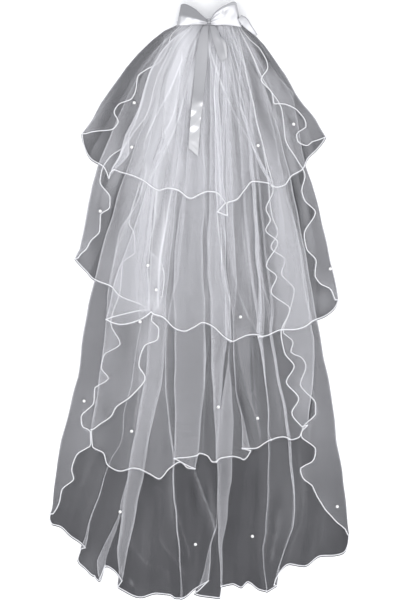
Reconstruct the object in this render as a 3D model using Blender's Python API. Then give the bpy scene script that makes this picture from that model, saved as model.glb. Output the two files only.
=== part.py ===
"""A four-tier bridal veil of plain tulle, laid flat with its bow at +Y and its hem at -Y.

Each tier is one sheet of net. Its side edges turn over the front at a fold and run down the
tier in loose cascades, and its pleats are flat Z-folds that fan out from the gathered head.
The tiers lie on each other, the longest at the bottom. Sizes in the tables are millimetres:
"across" is measured to the right from the middle line, "down" from the gathered head.
"""
import math
from collections import namedtuple

import bpy
import numpy as np

MM = 0.001

# Driving sizes of the cloth, in millimetres.
WALL = 1.1  # thickness of a ply of net
PLY_PITCH = 1.8  # from one ply of a fold to the next
TIER_STEP = 5.3  # from one tier to the next: three plies and a gap
SEAM = 0.3  # gap between two pieces that are sewn together
EDGING_WIDTH = 2.6
HEAD_AT = 688.85  # how far the gathered head lies up the sheet from the middle of the whole veil
MIDDLE_SHIFT = -0.55  # brings the middle of the whole veil onto the origin
COMB_THICK = 2.4
COMB_REACH = 46.0  # the comb's teeth end this far down from the head
LIFT = 3.3  # how far the comb lifts the cloth at the head
LIFT_FADE = 300.0  # over this length the cloth sinks from the comb to the surface
FALL_START = 12.0  # a tier keeps its height this far outside the tier under it
FALL_LENGTH = 190.0  # and then sinks to the surface over this length
NOSE = PLY_PITCH / 2  # radius of a fold
CLEAR = 3.0  # least distance from one section to the next
PLEAT = 5.0  # least width of a pleat

# One row for each section of a tier from its left corner to its right corner.
# gather and across are where the section starts at the head and ends at the hem, and down is
# the hem's depth there. ply is the level of the cloth that leaves the section to the right:
# a pleat turns back at its row of ply 1, forward again at its row of ply 2, and lies down at
# the next row of ply 0. bend is where a pleat's fold passes at the depth where the tier comes
# out from under the tier above.
Section = namedtuple("Section", "gather across down ply bend")

# fold_left and fold_right are the outlines, where the side edges turn to the front, and
# edge_left and edge_right are the cascades' free edges, each from the head to the corner:
# a row (across, down) for each turn. bend_at is the share of the depth where bend is measured.
Tier = namedtuple("Tier", "name level bend_at rows fold_left fold_right edge_left edge_right hem")


def sections(*rows):
    """Table rows as sections. A row may leave out its last columns."""
    return [Section(*row, *(0, None)[len(row) - 3:]) for row in rows]


TIER_1 = Tier(
    "tier_1", 3, 0.6, 8,
    fold_left=((-57, 0), (-90, 15), (-122, 40), (-155, 72), (-186, 107), (-217, 151), (-246, 194),
               (-270, 238), (-296, 272)),
    fold_right=((105, 0), (142, 30), (162, 52), (187, 87), (212, 122), (237, 168), (262, 203),
                (288, 236), (315, 280)),
    edge_left=((-46, 0), (-72, 26), (-82, 58), (-106, 96), (-135, 112), (-156, 130), (-160, 160),
               (-172, 186), (-202, 197), (-214, 218), (-205, 243), (-222, 262), (-252, 264),
               (-274, 268), (-286, 272)),
    edge_right=((96, 0), (124, 36), (150, 60), (170, 106), (154, 137), (180, 170), (187, 197),
                (208, 198), (243, 212), (265, 256), (242, 272), (246, 292), (268, 301),
                (282, 291), (299, 286)),
    hem=sections(
        (-49, -292, 294), (-43, -274, 331), (-36, -240, 357),
        (-26, -214, 370, 1, -76), (-30, -228, 366, 2, -88), (-23, -206, 372, 2),
        (-17, -188, 375), (-11, -148, 386), (-6, -105, 413), (2, -83, 407),
        (8, -62, 410), (18, -25, 433), (27, 2, 421), (34, 20, 416), (40, 40, 419),
        (50, 66, 442, 1, 53), (44, 42, 458, 2, 38), (48, 61, 448, 2), (53, 72, 458, 2),
        (60, 92, 435), (66, 109, 414), (72, 132, 392), (80, 166, 394),
        (86, 188, 404, 1, 118), (84, 177, 402, 2, 111), (88, 192, 406, 2),
        (92, 212, 400), (94, 227, 378), (97, 256, 359),
        (99, 268, 334), (101, 294, 308), (103, 307, 292),
    ),
)
TIER_2 = Tier(
    "tier_2", 2, 0.53, 8,
    fold_left=((-55, 0), (-76, 20), (-122, 75), (-155, 125), (-182, 180), (-210, 240), (-253, 346),
               (-270, 400), (-289, 500), (-300, 560), (-313, 584)),
    fold_right=((103, 0), (145, 32), (175, 82), (205, 132), (236, 190), (252, 287), (263, 352),
                (280, 395), (299, 467), (314, 534), (332, 610), (347, 687)),
    edge_left=((-44, 0), (-74, 60), (-106, 130), (-134, 222), (-165, 268), (-185, 300), (-225, 330),
               (-246, 366), (-250, 392), (-224, 430), (-226, 456), (-250, 474), (-252, 515),
               (-272, 538), (-284, 561), (-297, 572), (-304, 582)),
    edge_right=((93, 0), (128, 70), (160, 140), (206, 215), (212, 280), (240, 335), (262, 378),
                (255, 412), (262, 440), (288, 468), (262, 524), (266, 558), (291, 592), (288, 625),
                (300, 646), (325, 660), (338, 686)),
    hem=sections(
        (-49, -300, 598), (-44, -287, 612), (-39, -267, 634), (-34, -222, 652), (-29, -203, 675),
        (-22, -153, 696),
        (-11, -125, 712, 1, -112), (-16, -236, 737, 2, -124), (-13, -172, 747, 2), (-8, -119, 720, 2),
        (-2, -96, 729), (3, -65, 757), (10, -37, 765), (18, -15, 757), (25, 9, 744), (32, 32, 752),
        (38, 57, 778),
        (45, 77, 791, 1, 60), (40, 62, 783, 2, 48), (48, 81, 790, 2),
        (54, 96, 783), (60, 119, 775), (65, 134, 774),
        (71, 160, 779, 1, 138), (67, 146, 780, 2, 130), (74, 165, 777, 2),
        (80, 203, 762), (84, 232, 761), (88, 261, 754), (92, 285, 739), (95, 309, 730), (98, 328, 716),
        (101, 340, 702),
    ),
)
TIER_3 = Tier(
    "tier_3", 1, 0.72, 8,
    fold_left=((-53, 0), (-76, 90), (-110, 210), (-150, 380), (-168, 452), (-187, 500), (-210, 557),
               (-222, 615), (-232, 677), (-238, 775), (-248, 850), (-256, 912), (-265, 960), (-272, 1012)),
    fold_right=((101, 0), (145, 100), (182, 250), (214, 405), (228, 460), (245, 520), (257, 587),
                (270, 672), (277, 737), (285, 782), (287, 835), (282, 892), (277, 945), (270, 1001)),
    edge_left=((-40, 0), (-62, 110), (-86, 230), (-108, 360), (-112, 480), (-128, 560), (-98, 592),
               (-90, 625), (-95, 680), (-122, 735), (-104, 760), (-106, 788), (-137, 800), (-153, 850),
               (-139, 882), (-172, 928), (-210, 955), (-222, 978), (-250, 998), (-264, 1010)),
    edge_right=((91, 0), (118, 130), (146, 260), (170, 350), (183, 415), (165, 460), (175, 487),
                (163, 514), (195, 543), (166, 602), (192, 630), (178, 668), (224, 710), (203, 768),
                (211, 820), (236, 853), (217, 892), (247, 936), (230, 970), (254, 1003)),
    hem=sections(
        (-47, -269, 1054), (-42, -241, 1070), (-37, -230, 1100), (-32, -199, 1115), (-27, -168, 1108),
        (-22, -125, 1122), (-17, -101, 1134), (-13, -76, 1110), (-10, -47, 1093), (-6, -29, 1107),
        (6, -10, 1110, 1, 14), (-4, -69, 1085, 2, -63), (0, -40, 1074, 2), (9, -4, 1070, 2),
        (16, 18, 1077), (22, 33, 1092),
        (31, 46, 1089, 1, 64), (25, 39, 1092, 2, 24), (34, 52, 1082, 2),
        (41, 82, 1079), (46, 101, 1083),
        (53, 128, 1064, 1, 108), (48, 101, 1059, 2, 84), (56, 134, 1057, 2),
        (61, 157, 1045),
        (67, 174, 1036, 1, 148), (64, 166, 1039, 2, 141), (70, 179, 1034, 2),
        (76, 200, 1030),
        (81, 222, 1034, 1, 180), (79, 214, 1032, 2, 173), (83, 226, 1036, 2),
        (87, 236, 1036), (91, 244, 1030), (96, 253, 1014),
    ),
)
TIER_4 = Tier(
    "tier_4", 0, 0.79, 9,
    fold_left=((-51, 0), (-90, 110), (-140, 240), (-191, 381), (-207, 430), (-220, 480), (-235, 521),
               (-250, 580), (-264, 640), (-280, 700), (-290, 760), (-306, 880), (-326, 960),
               (-347, 1037), (-357, 1095), (-364, 1152), (-372, 1222)),
    fold_right=((99, 0), (144, 110), (190, 240), (232, 405), (262, 560), (282, 680), (295, 745),
                (312, 840), (329, 927), (343, 1046), (357, 1117), (366, 1214), (373, 1275)),
    edge_left=((-38, 0), (-66, 110), (-98, 240), (-140, 370), (-176, 495), (-164, 520), (-163, 570),
               (-194, 592), (-198, 656), (-223, 745), (-201, 797), (-240, 824), (-246, 856),
               (-228, 884), (-263, 907), (-267, 945), (-297, 978), (-294, 1002), (-273, 1016),
               (-273, 1050), (-310, 1074), (-321, 1112), (-315, 1136), (-344, 1161), (-352, 1192),
               (-364, 1218)),
    edge_right=((88, 0), (112, 110), (140, 230), (166, 350), (180, 480), (194, 520), (178, 555),
                (212, 588), (204, 620), (236, 660), (224, 715), (208, 768), (232, 792), (226, 818),
                (254, 832), (265, 854), (251, 898), (290, 948), (290, 972), (258, 1004), (252, 1028),
                (290, 1060), (284, 1088), (254, 1108), (283, 1154), (365, 1273)),
    hem=sections(
        (-45, -370, 1244), (-42, -346, 1252), (-39, -314, 1282),
        (-36, -295, 1304, 1, -236), (-37, -305, 1311, 2, -241), (-34, -289, 1311, 2),
        (-33, -272, 1366),
        (-29, -249, 1379, 1, -180), (-31, -258, 1373, 2, -185), (-27, -238, 1366, 2),
        (-23, -218, 1361),
        (-12, -196, 1378, 1, -141), (-20, -206, 1385, 2, -180), (-9, -190, 1385, 2),
        (-5, -163, 1426), (-2, -130, 1419), (1, -100, 1421), (5, -62, 1431),
        (10, -42, 1431, 1, -64), (6, -50, 1433, 2, -71), (13, -37, 1428, 2),
        (18, -14, 1408),
        (26, 22, 1391, 1, 37), (23, 3, 1404, 2, 28), (29, 27, 1397, 2),
        (33, 38, 1423),
        (47, 57, 1408, 1, 80), (39, 47, 1415, 2, 52), (50, 62, 1402, 2),
        (56, 80, 1394), (60, 101, 1403), (64, 118, 1390), (66, 143, 1403),
        (70, 166, 1412, 1, 171), (67, 159, 1414, 2, 165), (72, 170, 1410, 2),
        (74, 180, 1395),
        (79, 194, 1378, 1, 233), (76, 186, 1383, 2, 225), (81, 200, 1371, 2),
        (84, 228, 1345), (87, 262, 1349), (90, 300, 1326), (93, 337, 1322),
        (95, 361, 1314), (97, 371, 1292),
    ),
)
TIERS = (TIER_4, TIER_3, TIER_2, TIER_1)


# ---------------------------------------------------------------- materials


def finish(name, colour, roughness, metallic=0.0, alpha=1.0):
    """A plain material of one colour."""
    material = bpy.data.materials.new(name)
    material.use_nodes = True
    shader = material.node_tree.nodes["Principled BSDF"]
    shader.inputs["Base Color"].default_value = (*colour, 1.0)
    shader.inputs["Roughness"].default_value = roughness
    shader.inputs["Metallic"].default_value = metallic
    shader.inputs["Alpha"].default_value = alpha
    return material


# ---------------------------------------------------------------- meshes


def add_object(name, points, faces, material, smooth=True):
    """A mesh object from points in millimetres (across, down, height)."""
    places = [((x + MIDDLE_SHIFT) * MM, (HEAD_AT - down) * MM, z * MM) for x, down, z in points]
    # "down" runs against +Y, so each face is turned over.
    turned = [tuple(reversed(face)) for face in faces]
    mesh = bpy.data.meshes.new(name)
    mesh.from_pydata(places, [], turned)
    mesh.materials.append(material)
    if smooth:
        mesh.shade_smooth()
        mesh.set_sharp_from_angle(angle=math.radians(40))
    mesh.validate()
    thing = bpy.data.objects.new(name, mesh)
    bpy.context.collection.objects.link(thing)
    return thing


def wall_from_sheet(points, faces, thickness):
    """A closed wall about a sheet: its points moved out to both sides, and joined at the rim."""
    sheet = np.array(points, float)
    normals = np.zeros_like(sheet)
    for face in faces:
        corners = sheet[list(face)]
        normal = np.cross(corners[2] - corners[0], corners[-1] - corners[1])
        normals[list(face)] += normal / np.linalg.norm(normal)
    normals /= np.linalg.norm(normals, axis=1)[:, None]
    # both sides are cut along the same diagonals, so that a twisted wall keeps its thickness
    faces = [half for face in faces for half in (face[:3], (face[0], *face[2:])) if len(set(half)) == 3]
    count = len(sheet)
    solid_points = np.concatenate([sheet + normals * thickness / 2, sheet - normals * thickness / 2])
    solid_faces = [tuple(face) for face in faces]
    solid_faces += [tuple(count + corner for corner in reversed(face)) for face in faces]
    rim = {}
    for face in faces:
        for here, there in zip(face, (*face[1:], face[0])):
            if rim.pop((there, here), None) is None:
                rim[(here, there)] = True
    solid_faces += [(there, here, count + here, count + there) for here, there in rim]
    return solid_points, solid_faces


# ---------------------------------------------------------------- the tiers' shape


def along(table, down):
    """Where a line of (across, down) rows passes at a depth."""
    rows = np.array(table, float)
    return float(np.interp(down, rows[:, 1], rows[:, 0]))


def smooth_step(share):
    share = min(max(share, 0.0), 1.0)
    return share * share * (3 - 2 * share)


def cover(tier, across, down):
    """1 over a tier, and falling to 0 outside its outline."""
    outside = max(along(tier.fold_left, down) - across, across - along(tier.fold_right, down))
    return 1 - smooth_step((outside - FALL_START) / FALL_LENGTH)


def head_lift(down):
    """How far the comb lifts the cloth."""
    return LIFT * min(max(1 - (down - COMB_REACH) / LIFT_FADE, 0.0), 1.0)


def height(tier, across, down, ply):
    """Height of the middle of a ply of a tier above the surface it lies on."""
    under = [other for other in TIERS if other.level < tier.level]
    piled = sum(TIER_STEP * cover(other, across, down) for other in under)
    return WALL / 2 + (SEAM if under else 0.0) + head_lift(down) + piled + PLY_PITCH * ply


def fold_place(tier, side, share):
    """A point of the outline at a share of its depth."""
    table = tier.fold_left if side < 0 else tier.fold_right
    down = share * table[-1][1]
    return along(table, down), down


def share_across(tier, across, down):
    """A place as a share of the way from the left outline to the right one at its depth."""
    left, right = along(tier.fold_left, down), along(tier.fold_right, down)
    return (across - left) / (right - left)


def straight_share(tier, section, at):
    """The share across of a section at a share of its depth, before its pleats bend it."""
    head = share_across(tier, section.gather, 0)
    return head + (share_across(tier, section.across, section.down) - head) * at


def bends(tier):
    """How far the pleats bend the cloth aside: rows (share across at the hem, bend)."""
    rows = [(0.0, 0.0), (1.0, 0.0)]
    for section in tier.hem:
        if section.bend is not None:
            wanted = share_across(tier, section.bend, tier.bend_at * section.down)
            bend = wanted - straight_share(tier, section, tier.bend_at)
            rows.append((share_across(tier, section.across, section.down), bend))
    return np.array(sorted(rows))


def level_hem(tier):
    """The hem's depth without its waves, for the rows above it: places across, and depths."""
    flat = [section for section in tier.hem if section.ply == 0]
    across = np.array([section.across for section in flat], float)
    down = np.array([section.down for section in flat], float)
    nearness = np.exp(-((across[:, None] - across[None, :]) / 45.0) ** 2)
    return across, nearness @ down / nearness.sum(axis=1)


def section_place(tier, section, at):
    """A point of a section at a share of its depth: a ray from the head, bent with the pleats."""
    table = bends(tier)
    bend = np.interp(share_across(tier, section.across, section.down), table[:, 0], table[:, 1])
    share = straight_share(tier, section, at) + bend * at * (1 - at) / (tier.bend_at * (1 - tier.bend_at))
    level = np.interp(section.across, *level_hem(tier))
    down = at * level + at ** 6 * (section.down - level)
    left, right = along(tier.fold_left, down), along(tier.fold_right, down)
    return left + share * (right - left), down


def cascade(tier, side):
    """The folded-over side: rows of points from the free edge to the fold, and their shares."""
    edge = tier.edge_left if side < 0 else tier.edge_right
    fold = tier.fold_left if side < 0 else tier.fold_right
    depth = fold[-1][1]
    rows, shares = [], []
    share = 0.0
    step = 0.35 / len(edge)
    for number, (across, down) in enumerate(edge):
        last = 1 - step * (len(edge) - 1 - number)
        share = 0.0 if number == 0 else min(max(share + step, down / depth), last)
        fold_across, fold_down = fold_place(tier, side, share)
        inner = fold_across - side * NOSE
        row = []
        for part in (0.0, 0.5):
            x, y = across + (inner - across) * part, down + (fold_down - down) * part
            row.append((x, y, height(tier, x, y, 1)))
        row.append((inner, fold_down, height(tier, inner, fold_down, 1)))
        row.append((fold_across, fold_down, height(tier, fold_across, fold_down, 0.5)))
        row.append((inner, fold_down, height(tier, inner, fold_down, 0)))
        rows.append(row)
        shares.append(share)
    return rows, shares


def cascade_limit(tier, at, side):
    """How far a cascade reaches toward the middle near a share of the depth, as a share across."""
    table = tier.edge_left if side < 0 else tier.edge_right
    depth = tier.hem[len(tier.hem) // 2].down
    near = []
    for offset in range(-7, 8):
        down = min(max(at + offset / 7 / tier.rows, 0.0), 1.0) * depth
        near.append(share_across(tier, along_run(table, down, side), down))
    return max(near) if side < 0 else min(near)


def along_run(table, down, side):
    """The innermost place of a free edge at a depth; the edge may run back on itself."""
    found = []
    for (across, start), (other, end) in zip(table, table[1:]):
        if min(start, end) <= down <= max(start, end):
            share = (down - start) / (end - start) if end != start else 0.5
            found.append(across + (other - across) * share)
    if not found:
        found = [table[-1][0] if down > table[-1][1] else table[0][0]]
    return max(found) if side < 0 else min(found)


def spread(tier, at):
    """Where the sections pass at a share of their depth, clear of each other and the cascades."""
    clear = CLEAR * min(0.6 + at, 1.0)
    pleat = PLEAT * min(0.7 + at, 1.0)
    hem = tier.hem
    places = [section_place(tier, section, at) for section in hem]
    across = [place[0] for place in places]
    down = at * hem[len(hem) // 2].down
    outline_left, outline_right = along(tier.fold_left, down), along(tier.fold_right, down)
    width = outline_right - outline_left
    beside_left = outline_left + width * cascade_limit(tier, at, -1) + clear + EDGING_WIDTH + SEAM
    beside_right = outline_left + width * cascade_limit(tier, at, 1) - clear - EDGING_WIDTH - SEAM
    before = [0] + [section.ply for section in hem[:-1]]
    margin = 2 * clear if at < 1 else 0.0
    floor, landed = outline_left + margin, beside_left
    for number, section in enumerate(hem):
        if section.ply == 2 and before[number] == 1:
            continue
        low = floor + clear
        if section.ply == 1:
            across[number + 1] = max(across[number + 1], landed + clear)
            low = max(low, across[number + 1] + pleat)
        across[number] = max(across[number], low)
        floor = across[number]
        if section.ply == 0 and before[number] == 2:
            landed = floor
    ceiling, under = outline_right - margin, beside_right
    for number in range(len(hem) - 1, -1, -1):
        ply = hem[number].ply
        if ply == 1:
            continue
        if ply == 2 and before[number] == 1:
            across[number - 1] = min(across[number - 1], ceiling - clear)
            across[number] = min(across[number], across[number - 1] - pleat)
            ceiling, under = across[number - 1], across[number]
            continue
        high = min(ceiling, under) if ply == 0 and before[number] == 2 else ceiling
        across[number] = min(across[number], high - clear)
        ceiling = across[number]
    return [(x, place[1]) for x, place in zip(across, places)]


def main_columns(tier, shares):
    """Columns of points from head to hem, one for each section and three at each fold."""
    spreads = [spread(tier, at) for at in shares]
    columns = []
    for number, section in enumerate(tier.hem):
        before = tier.hem[number - 1].ply if number else 0
        turning = section.ply == before + 1
        # at a fold: the ply that arrives, the nose, and the ply that leaves
        nose = -NOSE if before == 0 else NOSE
        strands = [(0, section.ply)]
        if turning:
            strands = [(nose, before), (0, before + 0.5), (nose, section.ply)]
        for shift, ply in strands:
            column = []
            for places in spreads:
                across, down = places[number]
                column.append((across + shift, down, height(tier, across, down, ply)))
            columns.append(column)
    return columns


def tier_sheet(tier):
    """The mid-surface of a tier: points, faces, and its free rim from head to head."""
    points, faces = [], []

    def add(row):
        start = len(points)
        points.extend(row)
        return list(range(start, len(points)))

    def join(first, second, flip):
        for here, there in zip(range(len(first) - 1), range(1, len(first))):
            face = (first[here], first[there], second[there], second[here])
            faces.append(tuple(reversed(face)) if flip else face)

    left_rows, left_shares = cascade(tier, -1)
    right_rows, right_shares = cascade(tier, 1)
    left = [add(row) for row in left_rows]
    right = [add(row) for row in right_rows]
    for upper, lower in zip(left, left[1:]):
        join(upper, lower, False)
    for upper, lower in zip(right, right[1:]):
        join(upper, lower, True)

    shares = [(number / (tier.rows - 1)) ** 0.8 for number in range(tier.rows)]
    columns = [add(column) for column in main_columns(tier, shares)]
    for this, following in zip(columns, columns[1:]):
        for row in range(tier.rows - 1):
            faces.append((this[row], following[row], following[row + 1], this[row + 1]))

    def zip_up(fold, fold_shares, column, flip):
        """Joins a fold's many rows to a column's few rows with triangles."""
        here = there = 0
        while here < len(fold) - 1 or there < len(column) - 1:
            fold_next = fold_shares[here + 1] if here < len(fold) - 1 else 2.0
            column_next = shares[there + 1] if there < len(column) - 1 else 2.0
            if fold_next <= column_next:
                face = (fold[here], column[there], fold[here + 1])
                here += 1
            else:
                face = (fold[here], column[there], column[there + 1])
                there += 1
            faces.append(tuple(reversed(face)) if flip else face)

    zip_up([row[-1] for row in left], left_shares, columns[0], False)
    zip_up([row[-1] for row in right], right_shares, columns[-1], True)

    # each point of the rim, the point above it if it faces away from that, and whether the cloth
    # from there on is turned over (1) or not (-1)
    rim = [(row[0], None, 1) for row in left] + [(left[-1][1], None, 1)]
    rim += [(corner, None, -1) for corner in left[-1][2:]] + [(columns[0][-1], None, -1)]
    rim += [(column[-1], column[-2], -1) for column in columns[1:-1]] + [(columns[-1][-1], None, -1)]
    rim += [(corner, None, 1) for corner in right[-1][:0:-1]]
    rim += [(row[0], None, 1) for row in reversed(right)]
    return points, faces, rim


def edging_sheet(points, rim):
    """A narrow level strip along the rim, a seam's gap outside it."""
    places = np.array([points[corner] for corner, _, _ in rim])
    steps = np.diff(places[:, :2], axis=0)
    lengths = np.linalg.norm(steps, axis=1)
    turns = np.array([turn for _, _, turn in rim[:-1]])
    sides = np.column_stack([steps[:, 1], -steps[:, 0]]) * (turns / np.maximum(lengths, 1e-6))[:, None]
    # the short steps round a fold take the side of the cloth before and after it
    long_steps = np.flatnonzero(lengths > 2.5 * NOSE)
    strip, faces = [], []
    for number in range(len(rim)):
        before = long_steps[long_steps < number][-1:]
        after = long_steps[long_steps >= number][:1]
        out = sides[np.concatenate([before, after])].mean(axis=0)
        out /= max(np.dot(out, out), 0.4)
        if rim[number][1] is not None:
            out = (places[number] - points[rim[number][1]])[:2]
            out *= 1.3 / np.linalg.norm(out)
        for distance in (SEAM, SEAM + EDGING_WIDTH):
            strip.append(places[number] + distance * np.array((*out, 0.0)))
        if number:
            here = 2 * number
            faces.append((here - 2, here, here + 1, here - 1))
    return strip, faces


# ---------------------------------------------------------------- the head and the bow


BAND_TOP = 25.0  # over the highest ply of the gathered head
BAND_BOTTOM = COMB_THICK + SEAM
COMB_TEETH = 12
KNOT_AT = (22.0, -10.0)
KNOT_HALF = (7.0, 8.0, 8.5)

# One row for each station along a ribbon: its two edges in plan, the height of its edges and
# how far its middle bulges over them.
Station = namedtuple("Station", "left_across left_down right_across right_down height bulge")

# The loops run out on the lower ply, turn over at the far end and come back to the knot.
LOOP_LEFT = (
    Station(14, -14, 14, -5, 29.5, 0), Station(-4, -31, -4, -4, 26.4, 0),
    Station(-25, -45, -25, -3, 25.8, 0), Station(-43, -51, -49, -2, 25.8, 0),
    Station(-47, -51, -56, -2, 29.5, 0.5), Station(-48, -50, -58, -2, 33.5, 1.0),
    Station(-46, -52, -55, -2, 37.5, 1.5), Station(-37, -54, -44, -2, 39.5, 2.5),
    Station(-12, -40, -20, -3, 38.5, 3.0), Station(4, -25, 2, -4, 37.0, 2.0),
    Station(14, -15, 14, -4, 35.5, 1.0),
)
LOOP_RIGHT = (
    Station(30, -14, 30, -5, 29.5, 0), Station(44, -36, 44, -4, 26.4, 0),
    Station(62, -47, 66, -3, 25.8, 0), Station(82, -56, 93, 1, 25.8, 0),
    Station(90, -54, 102, 2, 29.5, 0.5), Station(92, -52, 104, 3, 33.5, 1.0),
    Station(89, -57, 101, 2, 37.5, 1.5), Station(81, -59, 88, 0, 39.5, 2.5),
    Station(60, -48, 60, -3, 38.5, 3.0), Station(42, -36, 42, -3, 37.0, 2.0),
    Station(30, -17, 30, -4, 35.5, 1.0),
)
# Heights of the ends are over the highest ply of the top tier at the place.
TAIL_LONG = (
    Station(8, -1, 20, -1, 6.2, 0.5), Station(2, 18, 20, 18, 3.2, 0.5),
    Station(-4, 40, 20, 40, 1.2, 1.0), Station(-12, 100, 17, 100, 0, 1.5),
    Station(-17, 162, 10, 166, 0, 1.5), Station(-19, 182, 8, 188, 2.5, 0),
    Station(-20, 196, 6, 204, 0, 0.5), Station(-22, 212, 4, 220, 3.5, 0),
    Station(-23, 228, 2, 237, 0, 0.5), Station(-25, 248, 0, 256, 3.5, 0),
    Station(-26, 264, -1, 274, 0, 0.5), Station(-27, 282, -3, 296, 3.0, 0),
    Station(-28, 296, -4, 312, 0, 0.5), Station(-28, 307, -5, 328, 1.5, 0),
)
TAIL_SHORT = (
    Station(24, 0, 33, 0, 2.5, 0.3), Station(26, 16, 37, 15, 1.0, 0.5),
    Station(29, 33, 43, 31, 0, 1.5), Station(40, 62, 59, 50, 1.5, 0.5),
    Station(48, 78, 64, 66, 0, 1.5), Station(55, 92, 68, 80, 1.0, 0),
)
END_SIDE = (
    Station(112, -20, 122, -14, 1.5, 0), Station(118, -2, 131, 0, 0.8, 0.8),
    Station(127, 10, 139, 14, 0.3, 0.8), Station(140, 28, 145, 24, 0, 0),
)


def ribbon_sheet(stations, columns, base):
    """A ribbon's mid-surface. base gives the height that its table's heights are over."""
    points, faces = [], []
    for row, station in enumerate(stations):
        for column in range(columns + 1):
            share = column / columns
            across = station.left_across + (station.right_across - station.left_across) * share
            down = station.left_down + (station.right_down - station.left_down) * share
            swell = station.bulge * math.sin(math.pi * share)
            points.append((across, down, base(across, down) + station.height + swell))
            if row and column:
                here = row * (columns + 1) + column
                faces.append((here - columns - 2, here - columns - 1, here, here - 1))
    return points, faces


def over_tier(ply):
    """The lowest place for the middle of a ribbon that lies on a ply of the top tier."""
    return lambda across, down: height(TIER_1, across, max(down, 0), ply) + WALL + SEAM


def rounded_block(middle, half, around, levels, squareness):
    """A block with rounded sides: rings of points round an upright axis."""
    points = [(*middle[:2], middle[2] - half[2]), (*middle[:2], middle[2] + half[2])]
    rings = []

    def power(value):
        return math.copysign(abs(value) ** squareness, value)

    for level in range(1, levels):
        tilt = math.pi * level / levels
        ring = []
        for step in range(around):
            turn = 2 * math.pi * (step + 0.5) / around
            ring.append(len(points))
            points.append((
                middle[0] + half[0] * power(math.sin(tilt)) * power(math.cos(turn)),
                middle[1] + half[1] * power(math.sin(tilt)) * power(math.sin(turn)),
                middle[2] - half[2] * power(math.cos(tilt)),
            ))
        rings.append(ring)
    faces = []
    for step in range(around):
        after = (step + 1) % around
        faces.append((0, rings[0][after], rings[0][step]))
        faces.append((1, rings[-1][step], rings[-1][after]))
        for lower, upper in zip(rings, rings[1:]):
            faces.append((lower[step], lower[after], upper[after], upper[step]))
    return points, faces


def gather_band():
    """The bar of gathered net over the comb: a rounded section that tapers at both ends."""
    points, faces = [], []
    around = 12
    # place across, and share of the full section
    stations = ((-60, 0.55), (-57, 0.9), (-40, 1.0), (88, 1.0), (103, 0.9), (106, 0.55))
    middle, half = 0.5 * (BAND_TOP + BAND_BOTTOM), 0.5 * (BAND_TOP - BAND_BOTTOM)
    for across, size in stations:
        for step in range(around):
            turn = 2 * math.pi * (step + 0.5) / around
            side = math.copysign(abs(math.sin(turn)) ** 0.5, math.sin(turn))
            rise = math.copysign(abs(math.cos(turn)) ** 0.5, math.cos(turn))
            points.append((across, -6.3 + 5.9 * size * side, middle + half * size * rise))
    for row in range(len(stations) - 1):
        for step in range(around):
            here, after = row * around + step, row * around + (step + 1) % around
            faces.append((here, here + around, after + around, after))
    faces.append(tuple(range(around)))
    faces.append(tuple(reversed(range(len(points) - around, len(points)))))
    return points, faces


def comb():
    """A flat comb: a bar with teeth that narrow to their tips."""
    outline = [(-31, -10), (75, -10), (76, -9), (76, -3), (75, -2)]
    pitch = 100 / (COMB_TEETH - 1)
    for tooth in reversed(range(COMB_TEETH)):
        at = -28 + tooth * pitch
        outline += [(at + 1.9, -2), (at + 1.1, COMB_REACH - 3), (at, COMB_REACH),
                    (at - 1.1, COMB_REACH - 3), (at - 1.9, -2)]
    outline += [(-31, -2), (-32, -3), (-32, -9)]
    count = len(outline)
    points = [(*place, 0.0) for place in outline] + [(*place, COMB_THICK) for place in outline]
    faces = [tuple(reversed(range(count))), tuple(range(count, 2 * count))]
    faces += [(step, (step + 1) % count, count + (step + 1) % count, count + step) for step in range(count)]
    return points, faces


# ---------------------------------------------------------------- pearls


PEARL_RADIUS = 4.0
# plies is the number of plies of its tier under the pearl, less one.
Pearl = namedtuple("Pearl", "across down tier plies")
PEARLS = (
    Pearl(-165, 195, TIER_1, 0), Pearl(-170, 305, TIER_1, 0), Pearl(234, 247, TIER_1, 0),
    Pearl(145, 301, TIER_1, 2), Pearl(-250, 465, TIER_2, 1), Pearl(-129, 600, TIER_2, 2),
    Pearl(-110, 662, TIER_2, 1.1), Pearl(327, 609, TIER_2, 1), Pearl(102, 730, TIER_2, 0),
    Pearl(-149, 742, TIER_2, 2), Pearl(-290, 940, TIER_4, 1), Pearl(46, 955, TIER_3, 2),
    Pearl(-172, 1016, TIER_3, 0), Pearl(144, 984, TIER_3, 0.7), Pearl(-200, 1218, TIER_4, 0),
    Pearl(342, 1204, TIER_4, 1), Pearl(-12, 1298, TIER_4, 0), Pearl(131, 1277, TIER_4, 0),
)


# ---------------------------------------------------------------- the model

for thing in list(bpy.data.objects):
    bpy.data.objects.remove(thing, do_unlink=True)

NET = finish("tulle", (0.80, 0.80, 0.83), 0.8, alpha=0.5)
SATIN = finish("white_satin", (0.86, 0.86, 0.88), 0.35)
PEARL = finish("pearl", (0.88, 0.87, 0.84), 0.22)
PLASTIC = finish("clear_plastic", (0.85, 0.85, 0.86), 0.15, alpha=0.6)

for tier in TIERS:
    points, faces, rim = tier_sheet(tier)
    add_object(tier.name, *wall_from_sheet(points, faces, WALL), NET)
    edging = tier.name.replace("tier", "edging")
    add_object(edging, *wall_from_sheet(*edging_sheet(points, rim), WALL), SATIN)

add_object("comb", *comb(), PLASTIC)
add_object("gather_band", *gather_band(), NET)

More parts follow.
